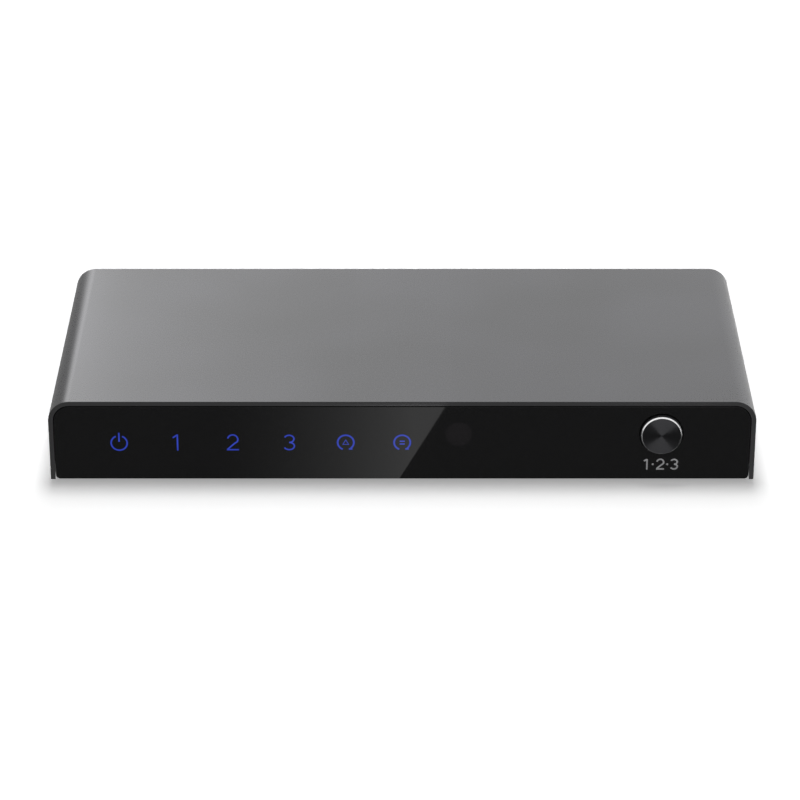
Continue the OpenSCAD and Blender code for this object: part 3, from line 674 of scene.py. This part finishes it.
def screwTree():  # countersunk head with a cross recess, each turned to where it was driven home
    tree, given = newTree("crossHeadScrew", screwParts)
    under = 0.04 * mm  # how far the head lies under the cover's face
    over = 0.02 * mm  # how far the cutters stand over it
    narrowing = 0.3  # share of a trench's width that is left at its floor
    corner = math.sqrt(0.5)  # from the middle to a corner of a square one unit wide
    top = addNode(tree, "ShaderNodeMath", {0: given["Head"], 1: 0.5}, operation="MULTIPLY")
    neck = addNode(tree, "ShaderNodeMath", {0: given["Neck"], 1: 0.5}, operation="MULTIPLY")
    taper = {"Vertices": 48, "Radius Top": top, "Radius Bottom": neck, "Depth": given["Depth"]}
    back = addNode(tree, "ShaderNodeMath", {0: given["Depth"], 1: -1.0, 2: -under}, operation="MULTIPLY_ADD")
    head = addNode(tree, "GeometryNodeTransform", {
        "Geometry": addNode(tree, "GeometryNodeMeshCone", taper),
        "Translation": addNode(tree, "ShaderNodeCombineXYZ", {"Z": back}),
    })
    wedge = addNode(tree, "GeometryNodeMeshCone", {
        "Vertices": 4,
        "Radius Top": corner,
        "Radius Bottom": narrowing * corner,
        "Depth": 1.0,
    })
    square = addNode(tree, "GeometryNodeTransform", {"Geometry": wedge, "Rotation": (0, 0, math.pi / 4)})
    floor = addNode(tree, "ShaderNodeMath", {0: given["Sink"], 1: -1.0, 2: over}, operation="MULTIPLY_ADD")
    place = addNode(tree, "ShaderNodeCombineXYZ", {"Z": floor})
    wings = []
    for along, across in (("Reach", "Slot"), ("Slot", "Reach")):  # two trenches that narrow on the way down
        size = {"X": given[along], "Y": given[across], "Z": given["Sink"]}
        scale = addNode(tree, "ShaderNodeCombineXYZ", size)
        wing = {"Geometry": square, "Translation": place, "Scale": scale}
        wings.append(addNode(tree, "GeometryNodeTransform", wing))
    cut = {"Mesh 1": head, "Mesh 2": wings}
    recess = addNode(tree, "GeometryNodeMeshBoolean", cut, operation="DIFFERENCE", solver="EXACT")
    facing = addNode(tree, "GeometryNodeInputNamedAttribute", {"Name": "facing"}, data_type="FLOAT_VECTOR")
    aimed = addNode(tree, "FunctionNodeAlignRotationToVector", {"Vector": facing}, axis="Z")
    driven = addNode(tree, "FunctionNodeRandomValue", {"Seed": 7}, data_type="FLOAT").outputs[1]
    angle = addNode(tree, "ShaderNodeMath", {0: driven, 1: math.pi / 2}, operation="MULTIPLY")
    twist = addNode(tree, "FunctionNodeAxisAngleToRotation", {"Axis": (0, 0, 1), "Angle": angle})
    spins = {"Rotation": aimed, "Rotate By": twist}
    turned = addNode(tree, "FunctionNodeRotateRotation", spins, rotation_space="LOCAL")
    return closeTree(tree, given, recess, turned)


screwSpots = [(side, y) for side in (-1, 1) for y in (-coverParts["screwY"], coverParts["screwY"])]
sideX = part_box("top_cover")[1].x
screwPoints = [(side * sideX, y, coverParts["screwZ"]) for side, y in screwSpots]
screws = grow("coverScrews", screwTree(), screwParts, screwPoints, [(side, 0, 0) for side, y in screwSpots])
settle(screws, "housing", "screw_steel", "cover_screws")
print("feet and screws grown")

sockets = ("output", "input_1", "input_2", "input_3")
contactParts = {
    "Pitch": 1.0 * mm,
    "Width": 0.5 * mm,
    "Length": 5.9 * mm,
    "Thickness": 0.12 * mm,
    "Rise": 0.71 * mm,  # from the tongue's middle to the middle of a strip
    "Tip": 0.8 * mm,  # length of the rolled end
    "Finish": platedMetal("goldFlashContact", "c79a4b", "d6ab5c", (1.0, 0.1, 1.0), 0.24),
}


def contactTree():  # ten strips above the tongue and nine below, tips rolled into the plastic
    tree, given = newTree("contactRows", contactParts)
    dipShare = -0.9  # of the strip's thickness
    sides = {"X": given["Width"], "Y": given["Length"], "Z": given["Thickness"]}
    size = addNode(tree, "ShaderNodeCombineXYZ", sides)
    bar = {"Size": size, "Vertices X": 2, "Vertices Y": 9, "Vertices Z": 2}
    strip = addNode(tree, "GeometryNodeMeshCube", bar)
    place = addNode(tree, "GeometryNodeInputPosition")
    along = addNode(tree, "ShaderNodeSeparateXYZ", {0: place}).outputs["Y"]
    end = addNode(tree, "ShaderNodeMath", {0: given["Length"], 1: 0.5}, operation="MULTIPLY")
    start = addNode(tree, "ShaderNodeMath", {0: end, 1: given["Tip"]}, operation="SUBTRACT")
    dip = addNode(tree, "ShaderNodeMath", {0: given["Thickness"], 1: dipShare}, operation="MULTIPLY")
    roll = {"Value": along, "From Min": start, "From Max": end, "To Max": dip}
    rolled = addNode(tree, "ShaderNodeMapRange", roll, interpolation_type="SMOOTHSTEP")
    lowered = addNode(tree, "ShaderNodeCombineXYZ", {"Z": rolled})
    bent = addNode(tree, "GeometryNodeSetPosition", {"Geometry": strip, "Offset": lowered})
    step = addNode(tree, "ShaderNodeCombineXYZ", {"X": given["Pitch"]})
    rows = []
    for count, half, side in ((10, 0.0, 1.0), (9, math.pi, -1.0)):
        shift = {0: given["Pitch"], 1: -(count - 1) / 2}
        first = addNode(tree, "ShaderNodeMath", shift, operation="MULTIPLY")
        begin = addNode(tree, "ShaderNodeCombineXYZ", {"X": first})
        spacing = {"Count": count, "Start Location": begin, "Offset": step}
        line = addNode(tree, "GeometryNodeMeshLine", spacing)
        strips = addNode(tree, "GeometryNodeInstanceOnPoints", {"Points": line, "Instance": bent})
        rise = addNode(tree, "ShaderNodeMath", {0: given["Rise"], 1: side}, operation="MULTIPLY")
        rows.append(addNode(tree, "GeometryNodeTransform", {
            "Geometry": strips,
            "Rotation": (0, half, 0),
            "Translation": addNode(tree, "ShaderNodeCombineXYZ", {"Z": rise}),
        }))
    return closeTree(tree, given, addNode(tree, "GeometryNodeJoinGeometry", {"Geometry": rows}))


contactNodes = [socket + "_contacts" for socket in sockets]
contacts = grow("socketContacts", contactTree(), contactParts, middles(contactNodes))
settle(contacts, "housing", "contact_gold", *contactNodes)

socketParts = {
    "width": 14 * mm,
    "height": 4.55 * mm,
    "bevel": (1.7 * mm, 1.75 * mm),  # how far the lower corners are cut, across and up
    "corner": 0.45 * mm,
    "wall": 0.5 * mm,
    # place across, and 1 above or -1 below
    "tabs": ((-3.3 * mm, 1), (3.3 * mm, 1), (-2.5 * mm, -1), (2.5 * mm, -1)),
    "slot": (2.1 * mm, 5.6 * mm, 1.6 * mm),  # window round a tab
    "slotBack": 4.0 * mm,  # from the mouth to the window's middle
    "tabWidth": 1.5 * mm,
    "tabTaper": 0.03,  # share of its width that a tab loses for each millimetre
    "tabSheet": 0.2,  # thickness in millimetres
    # millimetres back from the mouth, and in from the wall
    "tabBow": ((0.9, -0.1), (1.6, -0.02), (2.6, 0.2), (3.4, 0.34), (4.2, 0.38), (4.9, 0.3), (5.7, 0.08)),
}


def socketCorners():  # corner centres and the angles their arcs turn through
    half = socketParts["width"] / 2
    top = socketParts["height"]
    across, up = socketParts["bevel"]
    outline = ((half, top), (-half, top), (-half, up), (across - half, 0), (half - across, 0), (half, up))
    points = [Vector(p) for p in outline]
    normals = []
    for i in range(6):
        edge = (points[(i + 1) % 6] - points[i]).normalized()
        normals.append(Vector((edge.y, -edge.x)))
    corners = []
    for i in range(6):
        a, b = normals[i - 1], normals[i]
        middle = points[i] - (a + b) * socketParts["corner"] / (1 + a.dot(b))
        start, end = math.degrees(math.atan2(a.y, a.x)), math.degrees(math.atan2(b.y, b.x))
        corners.append((middle, start, start + (end - start + 540) % 360 - 180))
    return corners


def shellMesh():
    builder = bmesh.new()
    wall = socketParts["wall"]
    for socket in sockets:
        low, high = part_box(socket + "_shell")
        middleX = (low.x + high.x) / 2
        floorZ = high.z - wall - socketParts["height"]
        mouth = high.y
        lip = [  # section of the wall, from its outer root round the rolled mouth to its inner root
            (wall, low.y), (wall, mouth - 0.16 * mm), (wall - 0.06 * mm, mouth - 0.05 * mm),
            (wall - 0.17 * mm, mouth), (0.22 * mm, mouth), (0.08 * mm, mouth - 0.05 * mm),
            (0.01 * mm, mouth - 0.2 * mm), (0, mouth - 0.5 * mm), (0, low.y),
        ]
        rings = []
        for grown, y in lip:
            radius = socketParts["corner"] + grown
            ring = [p for c, start, end in socketCorners() for p in arc(c.x, c.y, radius, start, end, 6)]
            rings.append([builder.verts.new((middleX + x, y, floorZ + z)) for x, z in ring])
        for this, following in zip(rings, rings[1:] + rings[:1]):
            for i in range(len(this)):
                j = (i + 1) % len(this)
                builder.faces.new((this[i], this[j], following[j], following[i]))
    return cleaned(builder, "socketShells")


def tabSpots():
    for socket in sockets:
        low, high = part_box(socket + "_shell")
        top = high.z - socketParts["wall"]
        bottom = top - socketParts["height"]
        for x, side in socketParts["tabs"]:
            yield (low.x + high.x) / 2 + x, high.y, top if side > 0 else bottom, side


def slotMesh():  # windows round the spring tabs
    builder = bmesh.new()
    for x, y, z, side in tabSpots():
        place = Matrix.Translation((x, y - socketParts["slotBack"], z))
        bmesh.ops.create_cube(builder, size=1, matrix=place @ Matrix.Diagonal((*socketParts["slot"], 1)))
    return cleaned(builder, "tabSlots")


def tabMesh():  # spring tabs, bowed in to grip a plug
    builder = bmesh.new()
    section = ((-1, 0), (1, 0), (1, socketParts["tabSheet"]), (-1, socketParts["tabSheet"]))
    for x, y, z, side in tabSpots():
        rows = []
        for back, inward in socketParts["tabBow"]:
            half = socketParts["tabWidth"] / 2 * (1 - socketParts["tabTaper"] * back)
            corners = [(x + edge * half, y - back * mm, z - side * (inward - t) * mm) for edge, t in section]
            rows.append([builder.verts.new(corner) for corner in corners])
        for a, b in zip(rows, rows[1:]):
            for i in range(4):
                builder.faces.new((a[i], a[(i + 1) % 4], b[(i + 1) % 4], b[i]))
        builder.faces.new(rows[0])
        builder.faces.new(rows[-1])
    return cleaned(builder, "springTabs")


nickel = platedMetal("nickelPlatedSheet", "b9b8b4", "c6c5c2")
shells = meshPiece("socketShells", shellMesh(), [nickel], sharp=40)
cutAway(shells, meshPiece("tabSlots", slotMesh(), [nickel]))
settle(shells, "housing", "socket_steel", *[socket + "_shell" for socket in sockets])
tabs = meshPiece("springTabs", tabMesh(), [nickel], sharp=50)
settle(tabs, "housing", "socket_steel")
print("sockets folded")

# The solids that keep their own shape, with the finish each was made in
blackNylon = mouldedPlastic("blackGlassNylon", "0e0e0f", "171718")
chips = ["switch_chip", "control_chip", "regulator"]
keptFinishes = [
    (powderCoat(), ["chassis_tray"]),
    (blackNylon, ["power_body", "light_shade", "tact_base", "tact_plunger", "button_stem"]),
    (blackNylon, [socket + "_tongue" for socket in sockets]),
    (platedMetal("brightNickelPin", "bdbab2", "cfccc4", (1.0, 0.1, 1.0), 0.18), ["power_pin"]),
    (platedMetal("springSteel", "a9a9a8", "b8b8b6", (1.0, 1.0, 0.1), 0.3), ["tact_frame", "tact_dome"]),
    (platedMetal("zincPlatedPillar", "a8a69c", "bdbbb2", (1.0, 1.0, 0.1), 0.34), ["standoffs"]),
    (platedMetal("zincPlatedScrew", "9c9b98", "acaba8", (1.0, 1.0, 1.0), 0.3), ["board_screws"]),
    (platedMetal("drawnAluminiumCan", "bcbcbc", "cdcdcd", (1.0, 1.0, 0.1), 0.28), ["capacitors", "crystal"]),
    (solderResist(), ["main_board"]),
    (mouldedPlastic("epoxyChipBody", "101011", "1c1c1d", 0.12, 0.55), chips),
    (mouldedPlastic("pressedFerrite", "26272a", "3a3b3f", 0.2, 0.7), ["inductor"]),
    (mouldedPlastic("clearLampEpoxy", "d4d6cf", "e6e7e0", 0.5, 0.15), ["led_%d" % (i + 1) for i in range(6)]),
    (mouldedPlastic("infraredBlackPlastic", "150f14", "20181e", 0.6, 0.12), ["ir_receiver"]),
    (mouldedPlastic("greyFoamTape", "2d2d2e", "3c3c3d", 0.15, 0.9), ["panel_tape"]),
    (mouldedPlastic("frostedFilm", "cdd0d4", "dcdee1", 0.1, 0.6), ["icon_film"]),
]
for finish, names in keptFinishes:
    for name in names:
        for slot in nodes[name].material_slots:
            slot.material = finish
print("solids finished:", sum(len(names) for finish, names in keptFinishes))

# Studio: white sweep, soft lamps above, cards that only gloss and metal see, and the photograph's long lens
cameraParts = {
    "lens": 148.4,
    "sensor": 36,
    "y": -661.1 * mm,
    "z": 323.7 * mm,
    "tilt": 64.095,
    "shiftX": -2.2 / 800,  # pixels of the photograph's 800
    "near": 0.01,
    "far": 20,
}
sweepParts = {
    "reach": 3.0,  # from the middle to each edge
    "z": -0.02 * mm,
    "bounce": 0.8,  # colour that light bounces off
    "white": 0.98,  # colour that the lens sees
    "nearGlow": 0.32,
    "farGlow": 0.8,  # burnt out away from the box
    "near": 100 * mm,
    "far": 400 * mm,
}
wedgeParts = {"angles": (36, 129), "level": 2.0}  # slants of the button's bright wedges, in degrees
cardParts = {"y": -700 * mm, "left": -600 * mm, "right": 700 * mm, "top": 250 * mm}  # far in front
flagParts = {
    "z": 0.05 * mm,
    "nearY": -35.5 * mm,
    "nearX": 85 * mm,  # half its width beside the panel
    "dark": 0.17,
    "patch": 0.98,
    "patchY": -71.5 * mm,  # front end of the lighter strip
    "patchX": (-44 * mm, 2.5 * mm),  # from dark to full
    "slant": -10.05 / 34.2,  # lean of the strip's right end
    "slantX": -11.25 * mm,  # and where it would cross the middle of the box
    "wedgeY": -80 * mm,  # the wedge's light starts here
}
sideParts = {"level": 0.5, "left": -200 * mm, "right": -75.5 * mm}
backParts = {
    "y": 160 * mm,
    "half": 450 * mm,
    "top": 450 * mm,
    "riseX": (50 * mm, -135 * mm),
    "rise": 1.0,
    "heights": (60 * mm, 150 * mm),
    "levels": (1.14, 0.82),  # at those heights
    "lean": 0.23,  # slant of the strip and the dark end, which follow the cover's bend
    "strip": 0.7,
    "stripX": (-66 * mm, -76 * mm),
    "dim": 0.5,
    "dimX": (-74 * mm, -132 * mm),
}
airLevel = 0.15
lampParts = {  # power, width and length, place
    "keyLight": (2.8, (0.22, 0.26), (0, 0.1, 0.75)),
    "backLight": (1.1, (0.22, 0.26), (0, 0.35, 0.75)),
    "fillLight": (7.5, (1.2, 0.6), (0, -0.8, 1.0)),
}


def directRays(tree):  # 1 for what the lens, metal or glass sees straight
    seen = addNode(tree, "ShaderNodeLightPath").outputs
    pair = {0: seen["Is Camera Ray"], 1: seen["Is Glossy Ray"]}
    first = addNode(tree, "ShaderNodeMath", pair, operation="MAXIMUM")
    return addNode(tree, "ShaderNodeMath", {0: first, 1: seen["Is Transmission Ray"]}, operation="MAXIMUM")


def whiteSweep():  # white paper that keeps a light shadow
    material, tree, where = newMaterial("whiteSweep")
    seen = directRays(tree)
    tone = {"Value": seen, "To Min": sweepParts["bounce"], "To Max": sweepParts["white"]}
    board = addNode(tree, "ShaderNodeBsdfDiffuse", {"Color": addNode(tree, "ShaderNodeMapRange", tone)})
    far = addNode(tree, "ShaderNodeMapRange", {
        "Value": addNode(tree, "ShaderNodeVectorMath", {0: where}, operation="LENGTH").outputs["Value"],
        "From Min": sweepParts["near"],
        "From Max": sweepParts["far"],
        "To Min": sweepParts["nearGlow"],
        "To Max": sweepParts["farGlow"],
    })
    lift = addNode(tree, "ShaderNodeMath", {0: seen, 1: far}, operation="MULTIPLY")
    glow = addNode(tree, "ShaderNodeEmission", {"Strength": lift})
    paper = addNode(tree, "ShaderNodeAddShader", {0: board, 1: glow})
    # clear from below, so the feet can be looked at, and under the box, so light reaches its underside
    behind = addNode(tree, "ShaderNodeNewGeometry").outputs["Backfacing"]
    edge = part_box("top_cover")[1]
    inside = addNode(tree, "ShaderNodeVectorMath", {0: where}, operation="ABSOLUTE")
    axes = addNode(tree, "ShaderNodeSeparateXYZ", {"Vector": inside}).outputs
    across = addNode(tree, "ShaderNodeMath", {0: axes["X"], 1: edge.x}, operation="LESS_THAN")
    along = addNode(tree, "ShaderNodeMath", {0: axes["Y"], 1: edge.y}, operation="LESS_THAN")
    under = addNode(tree, "ShaderNodeMath", {0: across, 1: along}, operation="MULTIPLY")
    looked = addNode(tree, "ShaderNodeLightPath").outputs["Is Camera Ray"]
    unseen = addNode(tree, "ShaderNodeMath", {0: 1.0, 1: looked}, operation="SUBTRACT")
    through = addNode(tree, "ShaderNodeMath", {0: under, 1: unseen}, operation="MULTIPLY")
    opened = addNode(tree, "ShaderNodeMath", {0: behind, 1: through}, operation="MAXIMUM")
    clear = addNode(tree, "ShaderNodeBsdfTransparent")
    return closeMaterial(material, {0: opened, 1: paper, 2: clear}, "ShaderNodeMixShader")


# 1 on what the button's top and bottom thirds mirror, which keeps the wedges crisp
def buttonWedge(tree, where):
    centre = Vector((panelParts["buttonX"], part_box("button_cap")[0].y, panelParts["buttonZ"]))
    lens = (Vector((0, cameraParts["y"], cameraParts["z"])) - centre).normalized()
    away = addNode(tree, "ShaderNodeVectorMath", {0: where, 1: centre}, operation="SUBTRACT")
    ray = addNode(tree, "ShaderNodeVectorMath", {0: away}, operation="NORMALIZE")
    half = addNode(tree, "ShaderNodeVectorMath", {0: ray, 1: lens}, operation="ADD")
    axes = addNode(tree, "ShaderNodeSeparateXYZ", {"Vector": half}).outputs
    sides = []
    for angle in wedgeParts["angles"]:  # the two slants, from level on the right
        slope = math.tan(math.radians(angle))
        edge = addNode(tree, "ShaderNodeMath", {0: axes["X"], 1: slope}, operation="MULTIPLY")
        sides.append(addNode(tree, "ShaderNodeMath", {0: axes["Z"], 1: edge}, operation="GREATER_THAN"))
    return addNode(tree, "ShaderNodeMath", {0: sides[0], 1: sides[1]}, operation="MULTIPLY")


def frontPaint():  # card in front of the box, lit where the button mirrors it
    material, tree, where = newMaterial("frontCard")
    lit = {"Value": buttonWedge(tree, where), "To Min": flagParts["dark"], "To Max": wedgeParts["level"]}
    level = addNode(tree, "ShaderNodeMapRange", lit)
    return closeMaterial(material, {"Strength": level}, "ShaderNodeEmission")


# Dark cloth in front, with a lighter strip that ends on a slant and the button's wedge further out
def flagPaint():
    material, tree, where = newMaterial("frontFlag")
    axes = addNode(tree, "ShaderNodeSeparateXYZ", {"Vector": where}).outputs
    lean = {0: axes["Y"], 1: flagParts["slant"], 2: flagParts["slantX"]}
    slant = addNode(tree, "ShaderNodeMath", lean, operation="MULTIPLY_ADD")
    left = addNode(tree, "ShaderNodeMath", {0: axes["X"], 1: slant}, operation="LESS_THAN")
    near = addNode(tree, "ShaderNodeMath", {0: axes["Y"], 1: flagParts["patchY"]}, operation="GREATER_THAN")
    start, full = flagParts["patchX"]
    rise = addNode(tree, "ShaderNodeMapRange", {"Value": axes["X"], "From Min": start, "From Max": full})
    curved = addNode(tree, "ShaderNodeMath", {0: rise, 1: 2.0}, operation="POWER")
    strip = addNode(tree, "ShaderNodeMath", {0: left, 1: near}, operation="MULTIPLY")
    patch = addNode(tree, "ShaderNodeMath", {0: strip, 1: curved}, operation="MULTIPLY")
    tone = {"Value": patch, "To Min": flagParts["dark"], "To Max": flagParts["patch"]}
    far = addNode(tree, "ShaderNodeMath", {0: axes["Y"], 1: flagParts["wedgeY"]}, operation="LESS_THAN")
    level = addNode(tree, "ShaderNodeMapRange", {
        "Value": addNode(tree, "ShaderNodeMath", {0: far, 1: buttonWedge(tree, where)}, operation="MULTIPLY"),
        "To Min": addNode(tree, "ShaderNodeMapRange", tone),
        "To Max": wedgeParts["level"],
    })
    return closeMaterial(material, {"Strength": level}, "ShaderNodeEmission")


def backPaint():  # backdrop behind the box, brighter low down and to the left, and dark at its far left
    material, tree, where = newMaterial("gradedBackdrop")
    axes = addNode(tree, "ShaderNodeSeparateXYZ", {"Vector": where}).outputs
    start, full = backParts["riseX"]
    left = addNode(tree, "ShaderNodeMapRange", {"Value": axes["X"], "From Min": start, "From Max": full})
    curved = addNode(tree, "ShaderNodeMath", {0: left, 1: 2.0}, operation="POWER")
    high = addNode(tree, "ShaderNodeMapRange", {
        "Value": axes["Z"],
        "From Min": backParts["heights"][0],
        "From Max": backParts["heights"][1],
        "To Min": backParts["levels"][0],
        "To Max": backParts["levels"][1],
    })
    rising = {0: curved, 1: backParts["rise"], 2: high}
    graded = addNode(tree, "ShaderNodeMath", rising, operation="MULTIPLY_ADD")
    lean = {0: axes["Z"], 1: backParts["lean"], 2: axes["X"]}
    side = addNode(tree, "ShaderNodeMath", lean, operation="MULTIPLY_ADD")
    reached = []
    for start, full in (backParts["stripX"], backParts["dimX"]):
        span = {"Value": side, "From Min": start, "From Max": full}
        reached.append(addNode(tree, "ShaderNodeMapRange", span, interpolation_type="SMOOTHSTEP"))
    strip, dim = reached
    line = {0: strip, 1: backParts["strip"], 2: graded}  # bright line along the bend
    bright = addNode(tree, "ShaderNodeMath", line, operation="MULTIPLY_ADD")
    level = addNode(tree, "ShaderNodeMapRange", {"Value": dim, "To Min": bright, "To Max": backParts["dim"]})
    return closeMaterial(material, {"Strength": level}, "ShaderNodeEmission")


def stageSheet(name, corners, material, mirrorOnly=True):
    mesh = bpy.data.meshes.new(name)
    mesh.from_pydata(corners, [], [tuple(range(len(corners)))])
    mesh.materials.append(material)
    sheet = addObject(name, mesh)
    if mirrorOnly:  # shows in gloss and metal, lights nothing
        for sight in ("camera", "diffuse", "shadow", "transmission"):
            setattr(sheet, "visible_" + sight, False)


def lyingCorners(left, front, right, back, z):
    return [(left, front, z), (right, front, z), (right, back, z), (left, back, z)]


def standingCorners(left, right, y, top):
    return [(left, y, 0), (right, y, 0), (right, y, top), (left, y, top)]


def hangCards():
    reach = sweepParts["reach"]
    floorCorners = lyingCorners(-reach, -reach, reach, reach, sweepParts["z"])
    stageSheet("floor", floorCorners, whiteSweep(), mirrorOnly=False)
    left, right, frontY = cardParts["left"], cardParts["right"], cardParts["y"]
    nearX, nearY, z = flagParts["nearX"], flagParts["nearY"], flagParts["z"]
    flagCorners = [(left, frontY, z), (right, frontY, z), (nearX, nearY, z), (-nearX, nearY, z)]
    stageSheet("frontFlag", flagCorners, flagPaint())
    sideCorners = lyingCorners(sideParts["left"], nearY, sideParts["right"], backParts["y"], z)
    sideGlow = {"Strength": sideParts["level"]}
    sideCard = closeMaterial(newMaterial("sideFlag")[0], sideGlow, "ShaderNodeEmission")
    stageSheet("leftFlag", sideCorners, sideCard)
    backCorners = standingCorners(-backParts["half"], backParts["half"], backParts["y"], backParts["top"])
    stageSheet("backdrop", backCorners, backPaint())
    stageSheet("frontCard", standingCorners(left, right, frontY, cardParts["top"]), frontPaint())


def fillAir():
    world = bpy.data.worlds.new("studioAir")
    bpy.context.scene.world = world
    world.use_nodes = True
    tree = world.node_tree
    tree.nodes.clear()
    air = {"Value": directRays(tree), "To Min": airLevel, "To Max": 1.0}
    level = addNode(tree, "ShaderNodeMapRange", air)
    glow = addNode(tree, "ShaderNodeBackground", {"Color": (1, 1, 1, 1), "Strength": level})
    addNode(tree, "ShaderNodeOutputWorld", {"Surface": glow})


def hangLamps():
    for name, (power, (width, length), place) in lampParts.items():
        lamp = bpy.data.lights.new(name, "AREA")
        lamp.shape = "RECTANGLE"
        lamp.size = width
        lamp.size_y = length
        lamp.energy = power
        light = addObject(name, lamp)
        light.location = place
        light.rotation_euler = (-math.atan2(place[1], place[2]), 0, 0)  # aimed at the box
        light.visible_glossy = False  # metal mirrors the cards and the air, not the lamps
    lit = bpy.data.collections.new("fillLit")  # the fill leaves the paper alone, so the shadow stays whole
    for piece in bpy.context.scene.collection.objects:
        if piece.type == "MESH" and piece.name != "floor":
            lit.objects.link(piece)
    bpy.data.objects["fillLight"].light_linking.receiver_collection = lit


def standCamera():
    lens = bpy.data.cameras.new("longLens")
    lens.lens = cameraParts["lens"]
    lens.sensor_width = cameraParts["sensor"]
    lens.shift_x = cameraParts["shiftX"]
    lens.clip_start = cameraParts["near"]
    lens.clip_end = cameraParts["far"]
    camera = addObject("longLens", lens)
    camera.location = (0, cameraParts["y"], cameraParts["z"])
    camera.rotation_euler = (math.radians(cameraParts["tilt"]), 0, 0)
    bpy.context.scene.camera = camera
    bpy.context.scene.view_settings.view_transform = "Standard"


hangCards()
fillAir()
hangLamps()
standCamera()
print("studio lit")
